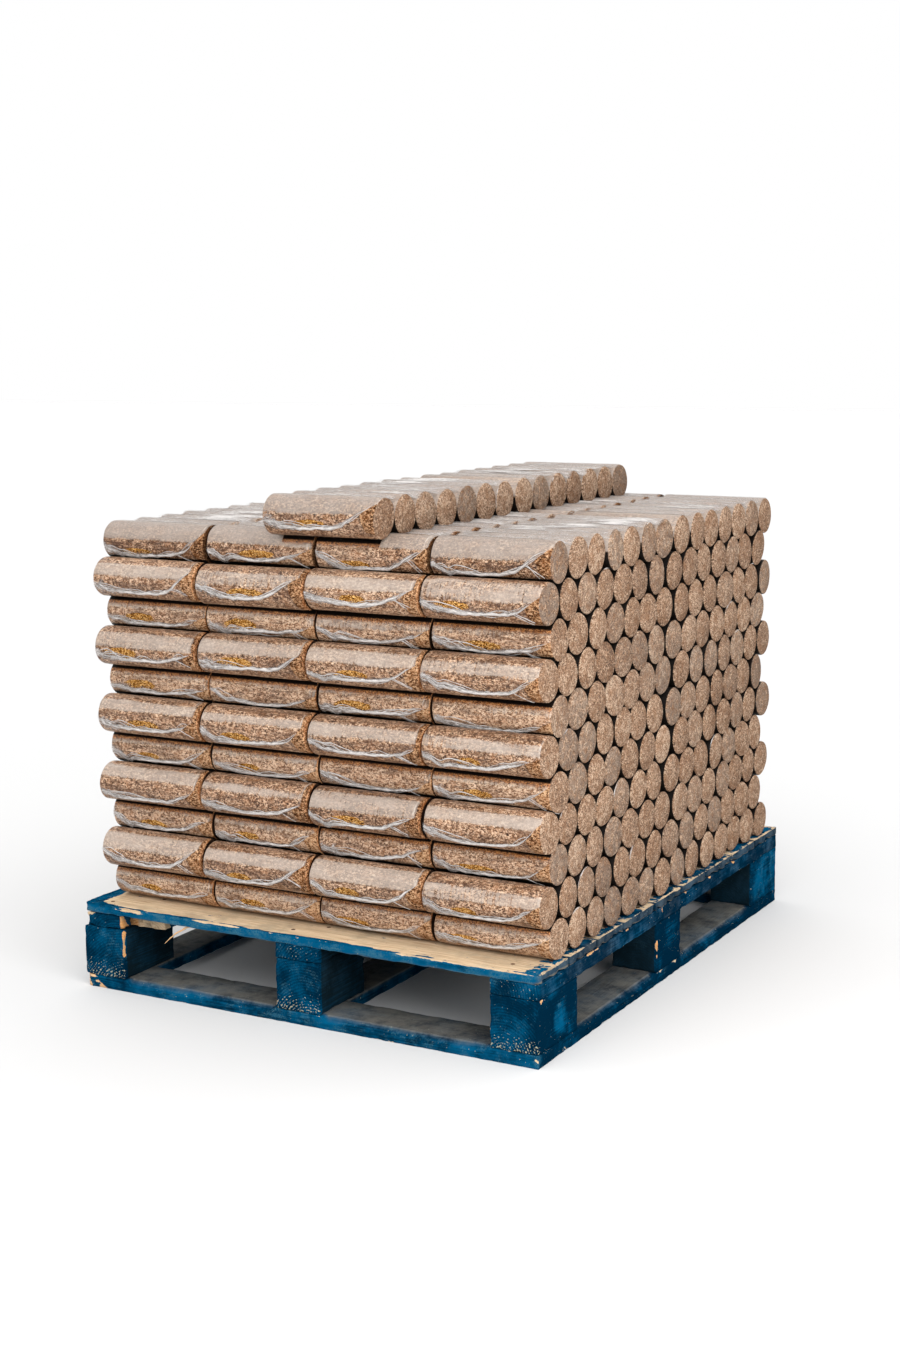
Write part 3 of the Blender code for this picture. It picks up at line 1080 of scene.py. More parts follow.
def sheet_place(centres):
    """Film over a pack's briquettes, given their centres from front to back."""
    first, last = centres[0], centres[-1]
    middle_x = sum(c.x for c in centres) / len(centres)
    seed = rng.uniform(0, 40)
    # The path across the pack: an arc down the first briquette, a level run, an arc down the last.
    arc = FILM_R * SIDE_DROP
    whole = last.y - first.y + 2 * arc

    def height_at(y, sag):
        best = -1.0
        for a, b in zip(centres, centres[1:]):
            if a.y <= y <= b.y:
                f = (y - a.y) / (b.y - a.y)
                best = a.z + (b.z - a.z) * f + FILM_R - sag * (0.5 - 0.5 * math.cos(math.tau * f))
        for c in centres:
            if abs(y - c.y) < FILM_R:
                best = max(best, c.z + math.sqrt(FILM_R ** 2 - (y - c.y) ** 2))
        return best

    def place(u, v):
        s = (v + 1) / 2 * whole
        end = abs(2 * u - 1)
        x = middle_x + (u - 0.5) * LOG_LENGTH * 1.030
        past_arc = min(s, whole - s) - arc
        if past_arc < 0:
            angle = math.pi / 2 + past_arc / FILM_R
            edge, out = (first, -1) if s < arc else (last, 1)
            point = Vector((x, edge.y + out * FILM_R * math.cos(angle), edge.z + FILM_R * math.sin(angle)))
            dense = 0.14
        else:
            y = first.y + s - arc
            near = min(abs(y - c.y) for c in centres) / (LOG_PITCH / 2)
            pull = clamp(0.5 + 1.2 * wave(s * 11, seed + 6, 2.0 * (u > 0.5)), 0.12)
            sag = 0.0042 + 0.0016 * wave(x * 9, s * 12, seed) + 0.0125 * pull * max(0.0, end - 0.62) / 0.38
            wrinkle = 0.0006 * wave(x * 16, s * 90, seed) * min(1.0, near * 2)
            point = Vector((x, y, height_at(y, sag) + wrinkle))
            patch = max(0.0, wave(x * 7, y * 5, seed + 9) + 0.15)
            strand = 0.50 + 1.3 * wave(x * 14, s * 110, seed + 4)
            aside = abs(2 * u - 1 - 0.9 * wave(seed * 1.7, s * 4.0, 2.0))
            dense = 0.32 + 0.22 * near ** 1.4
            dense += 2.10 * patch * strand * (1.0 - min(1.0, aside * 1.1)) * min(1.0, 5 - 5 * end)
        dense += 0.16 * wave(x * 6, s * 22, seed + 3)
        dense -= 0.55 * max(0.0, end - 0.97) / 0.03 * (0.5 + wave(s * 30, seed, u * 3))
        return point, dense - 0.3 * fade(min(s, whole - s), 0.02)

    return place


sheets = [lay_film(sheet_grid, sheet_place(centres), (LOG_LENGTH, 0.56)) for centres in top_packs]
finish_film(sheets, "film_top_sheets")

# %% [markdown]
# ## Film at the open ends
#
# A sleeve is open at both ends, where it shrank over the rims and stopped. Its edge shows there as thin
# pale slips around some of the outer briquettes, one small curved strip for each.

# %% Lay the slips at the ends
SLIP_SHARE = 0.10


def slip_place(centre, out, start, sweep, wide):
    """A sleeve's edge that shows on an end; out is 1 at the right and -1 at the left."""
    seed = rng.uniform(0, 30)
    rim = centre.x + out * LOG_LENGTH / 2

    def place(u, v):
        angle = start + sweep * u
        taper = arch(u, 0.03) ** 0.7
        across = (v + 1) / 2
        radius = SHOWN_R + 0.0004 - wide * taper * across * 0.8 + 0.0009 * wave(u * 3, v, seed)
        x = rim + out * (0.0012 * across - 0.0004 - max(0.0, -v) * 0.0035 * across)
        point = Vector((x, centre.y + radius * math.cos(angle), centre.z + radius * math.sin(angle)))
        return point, 0.25 + 0.45 * taper * (1 - 0.5 * abs(v))

    return place


slips = []
for centre, out in end_places:
    if rng.random() < SLIP_SHARE:
        start = rng.uniform(0.0, math.tau)
        if rng.random() < 0.5:
            start = rng.uniform(0.6, 2.2)
        place = slip_place(centre, out, start, rng.uniform(0.5, 1.5), rng.uniform(0.0012, 0.0034))
        slips.append(lay_film(thread_grid, place, (0.04, 0.003), out > 0))
finish_film(slips, "film_end_slips")
for master in (seam_grid, veil_grid, thread_grid, sheet_grid):
    bpy.data.objects.remove(master, do_unlink=True)

# %% [markdown]
# ## Wood grain and worn paint
#
# Sawn softwood shows growth rings twice: as long wandering lines along a board, and as arcs on its cut
# ends. The boards carry a UV map in metres, with U along the grain, so one pattern serves boards in
# any direction. Paint on a pallet goes first along the edges and over the whole top, where the load
# slides. The mesh says how far each point is from an edge and how worn its place is; a noise that
# follows the grain breaks that up, and a steep step makes the paint's chipped outline.

# %% Groups: wood grain and worn paint
def wood_grain(grain_uv, end, seed):
    """Rings and fibres of sawn wood: lines along a board, arcs on its ends."""
    u, v, _ = parts_of("SeparateXYZ", grain_uv)
    along = add_node("CombineXYZ", {"X": u, "Y": v, "Z": seed})
    wander = grain_of(stretched(along, (2.2, 11.0, 1.0)), 1.0, 4.0, 0.62)
    lines = maths("SINE", v * 380.0 + wander * 58.0)
    part = maths("FRACT", seed)
    centre = add_node("CombineXYZ", {"X": part * 0.12, "Y": part * -0.05, "Z": 0.0})
    arcs = maths("SINE", length_of(grain_uv - centre) * 1150.0 + grain_of(grain_uv, 22.0, 3.0) * 16.0)
    rings = mix(end, lines, arcs)
    fibre = grain_of(stretched(along, (14.0, 420.0, 1.0)), 1.0, 4.0, 0.6)
    return {"Rings": rings, "Fibre": mix(end, fibre, grain_of(grain_uv, 900.0, 2.0, 0.6))}


def worn_paint(place, grain_uv, edge, worn, reach):
    """Where the paint is gone, and its lifted rim."""
    drawn = grain_of(stretched(grain_uv, (9.0, 110.0, 1.0)), 1.0, 4.0, 0.6)
    level = rest_of(maths("DIVIDE", edge, reach)) * 0.30 + worn
    level = level + grain_of(place, 42.0, 6.0, 0.66) * 1.10 + drawn * 0.55
    return {"Bare": steps(level, 1.27, 1.31), "Rim": steps(level, 1.20, 1.27)}


GRAIN_INPUTS = {"Grain": "Vector", "End": "Float", "Seed": "Float"}
WEAR_INPUTS = {"Vector": "Vector", "Grain": "Vector", "Edge": "Float", "Worn": "Float", "Reach": "Float"}
grain_group = make_group("Wood grain", GRAIN_INPUTS, wood_grain)
wear_group = make_group("Worn paint", WEAR_INPUTS, worn_paint)

# %% Material: painted boards
PAINT_DEEP = (0.0003, 0.0125, 0.0295)
PAINT_FADED = (0.0008, 0.0650, 0.1420)
WOOD_STOPS = ((0.22, (0.270, 0.165, 0.090)), (0.45, (0.520, 0.375, 0.235)), (0.70, (0.720, 0.570, 0.390)))
FRESH_STOPS = ((0.22, (0.330, 0.120, 0.030)), (0.50, (0.640, 0.300, 0.100)), (0.75, (0.800, 0.480, 0.210)))
SCUFFED = (0.055, 0.150, 0.190)
RING_CREST = (0.340, 0.330, 0.240)
LIFTED_RIM = (0.020, 0.120, 0.200)
WOOD_STAIN = (0.230, 0.200, 0.145)
WOOD_STREAK = (0.330, 0.262, 0.175)
DARK_SPOT = (0.060, 0.040, 0.024)
DAMP_DUST = (0.066, 0.076, 0.078)
DRY_DUST = (0.136, 0.124, 0.102)
INSIDE_SHADE = (0.0048, 0.0095, 0.0110)


def make_board_material():
    """Old blue paint over sawn wood; attributes say where it is worn, faded, rubbed or dirty, and where shade
    is painted: on the right side and inside the pallet.
    """
    material, shader, place = start_material("worn_blue_paint")
    grain_uv = add_node("UVMap", {}, uv_map="grain")
    names = ("seed", "cut_end", "edge", "worn", "faded_and_side_shade", "rubbed_and_inner_shade", "dirt", "fresh")
    seed, end, edge, worn, faded_and_side_shade, rubbed_and_inner_shade, dirt, fresh = map(attribute, names)
    grain = place_group(grain_group, {"Grain": grain_uv, "End": end, "Seed": seed})
    rings, fibre = grain["Rings"], grain["Fibre"]
    tone = rings * mix(end, 0.035, 0.075) + fibre
    wear_feeds = {"Vector": place, "Grain": grain_uv, "Edge": edge, "Worn": worn, "Reach": 0.007}
    bare, rim = place_group(wear_group, wear_feeds).values()
    # Below zero the faded attribute keeps the paint deep: painted shade on the pallet's right side.
    fade_level = grain_of(place, 13.0, 6.0, 0.70) + tone * 0.42 + faded_and_side_shade
    paint = mix(steps(fade_level, 0.58, 0.94), PAINT_DEEP, PAINT_FADED)
    # Where the paint is rubbed thin, the pale summer wood of the rings shows through as fine specks.
    scuff = steps(grain_of(place, 34.0, 6.0, 0.78) + faded_and_side_shade * 0.35, 0.52, 0.66)
    scuff = scuff * steps(grain_of(place, 420.0, 3.0, 0.7) + tone * 0.8 + faded_and_side_shade * 0.35, 0.86, 1.02)
    paint = mix(scuff * 0.50, paint, SCUFFED)
    # Low on the blocks the hard rings stand proud, and their crests have lost the paint.
    crest = grain_of(place, 260.0, 2.0, 0.6) + rings * 0.07 + rubbed_and_inner_shade * 0.17
    paint = mix(steps(crest, 0.74, 0.79) * 0.90, paint, RING_CREST)
    paint = mix(rim * 0.30, paint, LIFTED_RIM)
    wood = mix(fresh, ramp(tone, WOOD_STOPS), ramp(tone, FRESH_STOPS))
    stain = grain_of(place, 15.0, 6.0, 0.66) + (fibre - 0.5) * 0.5
    wood = mix(steps(stain, 0.46, 0.74) * 0.60, wood, WOOD_STAIN)
    streak = grain_of(stretched(grain_uv, (2.6, 52.0, 1.0)), 1.0, 4.0, 0.6)
    wood = mix(steps(streak, 0.46, 0.70) * 0.45, wood, WOOD_STREAK)
    spot = grain_of(place, 75.0, 2.0, 0.5)
    wood = mix(steps(spot, 0.72, 0.78) * 0.7, wood, DARK_SPOT)
    color = mix(bare, paint, wood)
    # Dust and road dirt settle on what faces up and in the scratches of the rest.
    grime = steps(grain_of(place, 26.0, 6.0, 0.7) + fibre * 0.25 + (dirt - 0.5), 0.34, 0.95) * 0.84
    dust = mix(steps(dirt, 0.45, 0.60), DAMP_DUST, DRY_DUST)
    color = mix(grime, color, dust)
    # Inside the pallet, under the deck, the paint is painted almost black, as painted shade.
    inside_shade = steps(rubbed_and_inner_shade * -1.0, 0.4, 0.8) * mix(steps(fibre, 0.35, 0.65), 0.86, 0.72)
    height = rings * 0.06 + fibre
    relief = height * mix(bare, 0.45, 0.85) + (1.0 - bare) * 0.35
    feed(shader, {
        "Base Color": mix(inside_shade, color, INSIDE_SHADE),
        "Roughness": mix(bare, mix(fibre, 0.50, 0.75), 0.90),
        "Normal": bump(relief, 0.9, 0.0011),
        "Specular IOR Level": 0.0,
    })
    return material


board_material = make_board_material()

# %% [markdown]
# ## A board that has been used
#
# A board starts as a cube at its solid's size and place. Bisecting it gives it enough points to be worn,
# its sharp edges are bevelled, and then the points near an edge are pushed in by a noise, as years of
# forks and straps do. Each point also remembers how far it is from an edge and how worn its place is.

# %% Board helpers
HALF_X = 0.5
HALF_Y = 0.6
BITTEN = 0.008
POINT_RULES = ("worn", "fresh", "dirt", "faded_and_side_shade", "rubbed_and_inner_shade")


def spot_level(spots, co):
    """The strongest of several spots at a point. A spot is (x, y, z, reach x, y, z, strength)."""
    level = 0.0
    for *centre, rx, ry, rz, strength in spots:
        away = sum(((a - b) / reach) ** 2 for a, b, reach in zip(co, centre, (rx, ry, rz)))
        level = max(level, strength * min(1.0, 1.6 * (1.0 - away)))
    return level


def is_inside(co, margin=0.003):
    """Further in than the pallet's outer faces."""
    return abs(co.x) < HALF_X - margin and abs(co.y) < HALF_Y - margin


def add_board(low, high, axis, cuts, bevel=0.0016, shape=None):
    """A cube at a box's size, cut along its length and width, with its sharp edges bevelled."""
    low, high = Vector(low), Vector(high)
    start_clean()
    bpy.ops.mesh.primitive_cube_add(size=1.0, location=(low + high) / 2)
    board = bpy.context.object
    board.scale = high - low
    apply_all()
    set_mode("EDIT")
    across = 1 - axis if axis < 2 else 0
    for direction, count in zip((axis, across, 2), cuts):
        for number in range(1, count):
            bisect_all(low.lerp(high, number / count), axis_vector(direction))
    if shape:
        shape(board)
    edit_select(board, "edges", lambda e: e.calc_face_angle(0.0) > math.radians(60))
    bpy.ops.mesh.bevel(offset=bevel, segments=2, profile=0.6, affect="EDGES", clamp_overlap=True)
    set_mode("OBJECT")
    board["low"], board["high"], board["axis"] = list(low), list(high), axis
    return board


def wear_board(board, bite, **rules):
    """Pushes the edges in and writes the attributes and the grain map; a rule gives a value at a point."""
    mesh = board.data
    low, high, axis = Vector(board["low"]), Vector(board["high"]), board["axis"]
    seed = rng.uniform(0.0, 30.0)
    values = {name: [] for name in ("edge", "seed") + POINT_RULES}
    for vert in mesh.vertices:
        co = vert.co
        gaps = [(co[i] - low[i], i, 1.0) for i in range(3)] + [(high[i] - co[i], i, -1.0) for i in range(3)]
        gaps.sort()
        edge = max(gaps[1][0], 0.0)
        values["edge"].append(edge)
        values["seed"].append(seed)
        for name in POINT_RULES:
            values[name].append(rules[name](co) if name in rules else 0.0)
        reach = bite(co) if callable(bite) else bite
        if edge < BITTEN:
            rough = noise.noise(co * 55.0 + Vector((seed, 0, 0))) + 0.6 * noise.noise(co * 160.0)
            push = reach * max(0.0, rough + 0.25) * (1.0 - edge / BITTEN)
            for _, i, inwards in gaps[:2]:
                vert.co[i] += inwards * push
    for name, numbers in values.items():
        mesh.attributes.new(name, "FLOAT", "POINT").data.foreach_set("value", numbers)
    write_grain(mesh, axis, seed, low)
    return board


def write_grain(mesh, axis, seed, low):
    """UV in metres: U along the grain, V across it; on a cut end both lie in the end's plane."""
    new_uv(mesh, "grain")
    ends = mesh.attributes.new("cut_end", "FLOAT", "FACE").data
    layer = mesh.uv_layers["grain"].data
    first, second = [i for i in range(3) if i != axis]
    for face in mesh.polygons:
        normal = face.normal
        is_end = abs(normal[axis]) > 0.75
        ends[face.index].value = float(is_end)
        flat = first if abs(normal[second]) > abs(normal[first]) else second
        for corner in face.loop_indices:
            co = mesh.vertices[mesh.loops[corner].vertex_index].co
            if is_end:
                uv = (co[first] - low[first], co[second] - low[second])
            else:
                uv = (co[axis] + seed, co[flat] - low[flat] + seed * 0.31 + (0.4 if flat == first else 0.0))
            layer[corner].uv = uv


def finish_board(board, node):
    """Smooths a board but for its sharp edges, and shows it in its node's place."""
    rename(board, node + "_worn")
    board.data.shade_smooth()
    start_clean()
    board.select_set(True)
    bpy.context.view_layer.objects.active = board
    bpy.ops.object.shade_smooth_by_angle(angle=math.radians(32))
    finish_piece(board, board_material, node.split("_")[0] + "_wood", [node])
    print(node, "has", len(board.data.polygons), "faces")


print("board helpers ready")

# %% [markdown]
# ## The base
#
# The base is a closed frame of five boards on the floor. The outer upper edge of each opening is
# chamfered so that a wheel can climb it; the chamfer stops short of the blocks. It is made as by hand:
# a cut at each end of it, then a wide bevel on the short edge between the cuts.

# %% Model the base boards
RAIL_X = 0.096
BLOCK_ROWS = ((0.0, 0.160), (0.520, 0.642), (1.046, 1.200))
CHAMFER = 0.0135
CHAMFER_STOP = 0.012
CORNER_R = 0.014
CLOSE = 0.0001


def chamfer_spans(axis):
    """Where the chamfers start and end along a base board."""
    if axis == 0:
        near, far = RAIL_X / 2 + CHAMFER_STOP, HALF_X - RAIL_X - CHAMFER_STOP
        return [(-far, -near), (near, far)]
    rows = zip(BLOCK_ROWS, BLOCK_ROWS[1:])
    return [(before[1] - HALF_Y + CHAMFER_STOP, after[0] - HALF_Y - CHAMFER_STOP) for before, after in rows]


def bevel_where(board, test, width, segments):
    edit_select(board, "edges", lambda e: all(test(v.co) for v in e.verts))
    bpy.ops.mesh.bevel(offset=width, segments=segments, affect="EDGES", clamp_overlap=False)


def round_corner(board):
    bevel_where(board, lambda co: abs(co.x + HALF_X) < CLOSE and abs(co.y + HALF_Y) < CLOSE, CORNER_R, 4)


def chamfer_shape(axis, side, top, corner=False):
    """An edit-mode step that chamfers a base board's outer upper edge over each opening."""
    outer = side * (HALF_X if axis else HALF_Y)
    normal = axis_vector(axis)

    def on_edge(co):
        return abs(co[1 - axis] - outer) < CLOSE and abs(co.z - top) < CLOSE

    def shape(board):
        for span in chamfer_spans(axis):
            for end in span:
                bisect_all(normal * end, normal)
        for start, end in chamfer_spans(axis):
            bevel_where(board, lambda co: on_edge(co) and start - CLOSE < co[axis] < end + CLOSE, CHAMFER, 1)
        if corner:
            round_corner(board)

    return shape


BASE_SPOTS = (
    (-0.490, -0.596, 0.013, 0.034, 0.020, 0.016, 0.56),
    (-0.452, -0.600, 0.003, 0.016, 0.010, 0.006, 0.34),
    (-0.383, -0.600, 0.0245, 0.022, 0.015, 0.006, 0.45),
    (-0.330, -0.600, 0.006, 0.016, 0.010, 0.006, 0.30),
    (0.500, -0.600, 0.012, 0.0045, 0.0045, 0.012, 0.04),
    (0.500, -0.045, 0.0245, 0.018, 0.075, 0.006, 0.12),
    (0.500, 0.020, 0.022, 0.015, 0.012, 0.008, 0.16),
)
BASE_RULES = {
    "worn": lambda co: 0.02 + spot_level(BASE_SPOTS, co),
    "fresh": lambda co: 0.45 * (co.x < 0.05 - HALF_X and co.y < 0.03 - HALF_Y),
    "dirt": lambda co: 0.62 if co.z > 0.020 and is_inside(co, 0.012) else 0.02 + 0.25 * (co.z < 0.004),
    # The front is more faded; the right side is painted darker, as painted shade.
    "faded_and_side_shade": lambda co: 0.08 if co.y < 0.016 - HALF_Y else -0.10 * (co.x > HALF_X - 0.004),
}
base_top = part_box("base_front")[1][2]
BASE_PLANS = {
    "base_front": (0, chamfer_shape(0, -1, base_top, corner=True)),
    "base_back": (0, chamfer_shape(0, 1, base_top)),
    "base_left": (1, chamfer_shape(1, -1, base_top)),
    "base_right": (1, chamfer_shape(1, 1, base_top)),
    "base_middle": (1, None),
}
for node, (axis, shape) in BASE_PLANS.items():
    board = add_board(*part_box(node), axis, (64, 5, 2), shape=shape)
    finish_board(wear_board(board, 0.0014, **BASE_RULES), node)

# %% [markdown]
# ## Blocks
#
# The nine blocks are short lengths of beam with their cut ends to the front and back, so the front
# faces show rings through the paint. Forks have bruised their lower corners.

# %% Model the blocks
BLOCK_SPOTS = (
    (-0.4040, -0.600, 0.112, 0.0060, 0.014, 0.014, 0.50),
    (-0.4040, -0.600, 0.094, 0.0030, 0.010, 0.013, 0.30),
    (-0.4040, -0.600, 0.078, 0.0050, 0.012, 0.010, 0.46),
    (-0.480, -0.600, 0.036, 0.045, 0.020, 0.016, 0.10),
    (-0.030, -0.600, 0.034, 0.036, 0.020, 0.012, 0.12),
    (0.450, -0.600, 0.032, 0.060, 0.020, 0.012, 0.08),
    (0.500, -0.0775, 0.080, 0.010, 0.0040, 0.014, 0.44),
    (0.500, -0.0765, 0.060, 0.010, 0.0035, 0.010, 0.40),
    (0.500, -0.588, 0.118, 0.010, 0.007, 0.006, 0.50),
    (0.500, -0.512, 0.066, 0.008, 0.022, 0.036, 0.17),
    (0.500, 0.530, 0.075, 0.008, 0.040, 0.030, 0.12),
)
BLOCK_FRESH = (
    (0.500, -0.0775, 0.072, 0.020, 0.015, 0.040, 0.9),
    (-0.4035, -0.600, 0.096, 0.030, 0.030, 0.050, 1.0),
    (0.500, -0.588, 0.118, 0.020, 0.015, 0.012, 1.0),
)
BLOCK_FADED = (
    (0.500, -0.513, 0.070, 0.008, 0.034, 0.038, 0.16),
    (0.500, 0.540, 0.085, 0.008, 0.070, 0.060, 0.12),
)


def block_faded_and_side_shade(co):
    # The right faces and the front right are painted darker, as painted shade.
    shaded = 0.0 if co.y >= 0.4 else 0.12 if co.x > HALF_X - 0.004 else 0.02 * (co.x > 0.36)
    patches = spot_level(BLOCK_FADED, co) * (1.0 + noise.noise(co * 60.0))
    return patches + 0.07 * noise.noise(co * 21.0) - shaded


def block_rubbed_and_inner_shade(co):
    """Most along the foot of a front face; below zero inside the pallet, where it gives painted shade."""
    if abs(abs(co.y) - HALF_Y) > 0.003:
        return -1.0 * is_inside(co)
    return min(1.0, 1.3 * fade(co.z - 0.026, 0.042))


BLOCK_RULES = {
    "worn": lambda co: spot_level(BLOCK_SPOTS, co),
    "fresh": lambda co: spot_level(BLOCK_FRESH, co),
    "dirt": lambda co: 0.26 * is_inside(co),
    "faded_and_side_shade": block_faded_and_side_shade,
    "rubbed_and_inner_shade": block_rubbed_and_inner_shade,
}
for row in ("front", "centre", "back"):
    for rail in ("left", "middle", "right"):
        node = f"block_{row}_{rail}"
        board = add_board(*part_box(node), 1, (14, 16, 14), bevel=0.0022)
        finish_board(wear_board(board, 0.0018, **BLOCK_RULES), node)

# %% [markdown]
# ## Stringers
#
# Three boards run from front to back over the blocks. The left one is wider, and its front end is
# broken: a painted remnant is left at the corner, and beside it the raw broken wood is set back. The
# break is modelled as two lengths, with the points of the raw end pulled about by a noise.

# %% Model the stringers
STRINGER_SPOTS = [(0.500, y, z, 0.010, *rest) for y, z, *rest in (
    (-0.336, 0.140, 0.008, 0.010, 0.30),
    (-0.223, 0.146, 0.007, 0.012, 0.30),
    (-0.058, 0.142, 0.009, 0.013, 0.34),
    (0.066, 0.146, 0.007, 0.012, 0.30),
    (0.202, 0.143, 0.008, 0.012, 0.32),
    (0.335, 0.148, 0.008, 0.012, 0.32),
    (-0.380, 0.150, 0.030, 0.006, 0.30),
)]
STRINGER_FRESH = [(*spot[:3], 0.03, 0.03, 0.03, 1.6) for spot in STRINGER_SPOTS]
BREAK_Y = -HALF_Y + 0.034
RAW_Y = BREAK_Y + 0.016


def stringer_dirt(co):
    return 0.30 if abs(co.y) < HALF_Y - 0.003 else 0.12


def splinter_end(board, start, depth):
    """Pulls the points of a broken end about, more between the fibres than along them."""
    for vert in board.data.vertices:
        if vert.co.y < start + 0.006:
            fibre = wave(vert.co.x * 85.0, 3.0, vert.co.z * 260.0)
            deep = wave(vert.co.x * 26.0, 9.0, vert.co.z * 40.0)
            vert.co.y += depth * (0.5 + 0.5 * fibre + 0.5 * deep)


STRINGER_RULES = {
    "worn": lambda co: spot_level(STRINGER_SPOTS, co),
    "fresh": lambda co: min(1.0, spot_level(STRINGER_FRESH, co)),
    "dirt": stringer_dirt,
    # The right side is painted darker, as painted shade.
    "faded_and_side_shade": lambda co: -0.08 * (co.x > HALF_X - 0.004),
    # Below zero inside the pallet, for painted shade there.
    "rubbed_and_inner_shade": lambda co: -1.0 if is_inside(co) else 0.40 * (co.y < -HALF_Y + 0.004),
}
BREAK_RULES = {
    "worn": lambda co: 1.0 * (co.y < RAW_Y),
    "fresh": lambda co: 0.9 * (co.y < RAW_Y and co.x < -0.398),
    "dirt": stringer_dirt,
}
for rail in ("middle", "right"):
    board = add_board(*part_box("stringer_" + rail), 1, (90, 5, 4))
    finish_board(wear_board(board, 0.0014, **STRINGER_RULES), "stringer_" + rail)

# %% Model the broken stringer
def model_stub(low, high):
    """The painted remnant at the corner, ragged towards the raw wood."""
    stub = add_board(low, high, 1, (8, 12, 6), bevel=0.003)
    foot = (high[0], low[1], low[2])
    edges = ((low[0], low[1], high[2], 0.024, 0.02, 0.012, 0.55), (*foot, 0.006, 0.03, 0.03, 0.75))
    raw = ((*foot, 0.04, 0.06, 0.06, 1.0),)
    rules = {"worn": lambda co: spot_level(edges, co), "fresh": lambda co: spot_level(raw, co)}
    wear_board(stub, 0.0045, dirt=stringer_dirt, **rules)
    for vert in stub.data.vertices:
        ragged = noise.noise(vert.co * 70.0)
        right = max(0.0, (vert.co.x - low[0]) / (high[0] - low[0]) - 0.7) / 0.3
        front = fade(vert.co.y - low[1], 0.018)
        vert.co.y += 0.010 * front * right * (0.6 + ragged)
        vert.co.z -= 0.004 * front * max(0.0, ragged + 0.2) * (vert.co.z > (low[2] + high[2]) / 2)
    return stub


low, high = map(Vector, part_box("stringer_left"))
length = add_board((low.x, BREAK_Y, low.z), high, 1, (80, 22, 6))
wear_board(length, 0.0014, **BREAK_RULES)
splinter_end(length, BREAK_Y, 0.011)
stub_high = (low.x + 0.087, BREAK_Y + 0.006, high.z - 0.0006)
stub = model_stub((low.x + 0.006, -HALF_Y + 0.0015, low.z), stub_high)
finish_board(join_pieces([length, stub], "stringer_left_broken"), "stringer_left")

# %% [markdown]
# ## Deck
#
# Nine boards close the top. Loads have rubbed their paint off down to pale wood; blue is left along
# the front board's edge, at the left end and in patches along the right, where straps have also
# rounded the corners into waves.

# %% Model the deck boards
DECK_SPOTS = (
    (-0.388, -0.600, 0.1655, 0.046, 0.010, 0.0052, 0.46),
    (-0.185, -0.600, 0.1690, 0.066, 0.010, 0.0034, 0.44),
    (0.300, -0.600, 0.1610, 0.026, 0.010, 0.0040, 0.30),
    (0.350, -0.600, 0.1698, 0.170, 0.010, 0.0022, 0.34),
    (0.500, 0.030, 0.170, 0.020, 0.022, 0.006, 0.50),
)


def deck_worn(co):
    """Bare on top, but for a strip of paint along the front, the left end and parts of the right."""
    level = spot_level(DECK_SPOTS, co)
    if co.z <= 0.1690:
        return level
    front, left, right = co.y + HALF_Y, co.x + HALF_X, HALF_X - co.x
    strip = 0.0045 + 0.0065 * wave(co.x * 7.0, 5.0, 0.0) + 0.0030 * wave(co.x * 31.0, 8.0, 0.0)
    strip += 0.016 * fade(left, 0.09)
    top = 0.68
    if front < 0.03:
        top = 0.68 * clamp((front - strip) / 0.004) - 0.10 * (front < strip)
    if left < 0.030:
        top = min(top, 0.10 + left * 6.0)
    if right < 0.030:
        top = min(top, 0.30 + 0.40 * wave(co.y * 14.0, 2.0, 0.0) + right * 4.0)
    return max(level, top)


def deck_faded_and_side_shade(co):
    if co.y < -HALF_Y + 0.01 and co.z < 0.1695:
        return 0.22 + 0.26 * wave(co.x * 8.0, 1.0, co.z * 90.0)
    # The right end is painted darker, as painted shade.
    return -0.06 if co.x > HALF_X - 0.004 else 0.10


def deck_bite(co):
    """Straps bite deepest along the right edge."""
    return 0.0014 + 0.0042 * fade(HALF_X - co.x, 0.02)


def deck_shape(board):
    round_corner(board)
    for gap in (0.0030, 0.0060, 0.0095, 0.0140, 0.0200):
        bisect_all((0.0, -HALF_Y + gap, 0.0), (0, 1, 0))


DECK_RULES = {
    "worn": deck_worn,
    "dirt": lambda co: 0.06 + 0.42 * fade(HALF_X - co.x, 0.012) + 0.35 * (co.z < 0.1545),
    "faded_and_side_shade": deck_faded_and_side_shade,
}
DECK_NODES = [f"deck_{number:02d}" for number in range(1, 10)]
for node in DECK_NODES:
    first = node == "deck_01"
    cuts = (110 if first else 60, 10, 3)
    board = add_board(*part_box(node), 0, cuts, shape=deck_shape if first else None)
    finish_board(wear_board(board, deck_bite, **DECK_RULES), node)

# %% [markdown]
# ## Nails and a splinter
#
# Each crossing of a deck board and a stringer has two nails. A head is a low cylinder whose top is
# inset and raised a little, driven in flush, and rust has browned it. Under the front board's edge a
# long splinter has come loose and hangs by its upper end.

# %% Model the nails
NAIL_HEAD_R = 0.0042
RUST_STOPS = ((0.30, (0.030, 0.016, 0.010)), (0.50, (0.110, 0.048, 0.022)), (0.70, (0.220, 0.105, 0.050)))


def make_rust_material():
    """Rust in fine and broad spots, duller than the steel between them."""
    material, shader, place = start_material("rusty_steel")
    spots = grain_of(place, 520.0, 4.0, 0.65)
    broad = grain_of(place, 60.0, 3.0, 0.6)
    feed(shader, {
        "Base Color": ramp(spots * 0.6 + broad * 0.4, RUST_STOPS),
        "Roughness": mix(spots, 0.62, 0.92),
        "Metallic": mix(spots, 0.75, 0.25),
        "Normal": bump(spots, 0.6, 0.0004),
    })
    return material


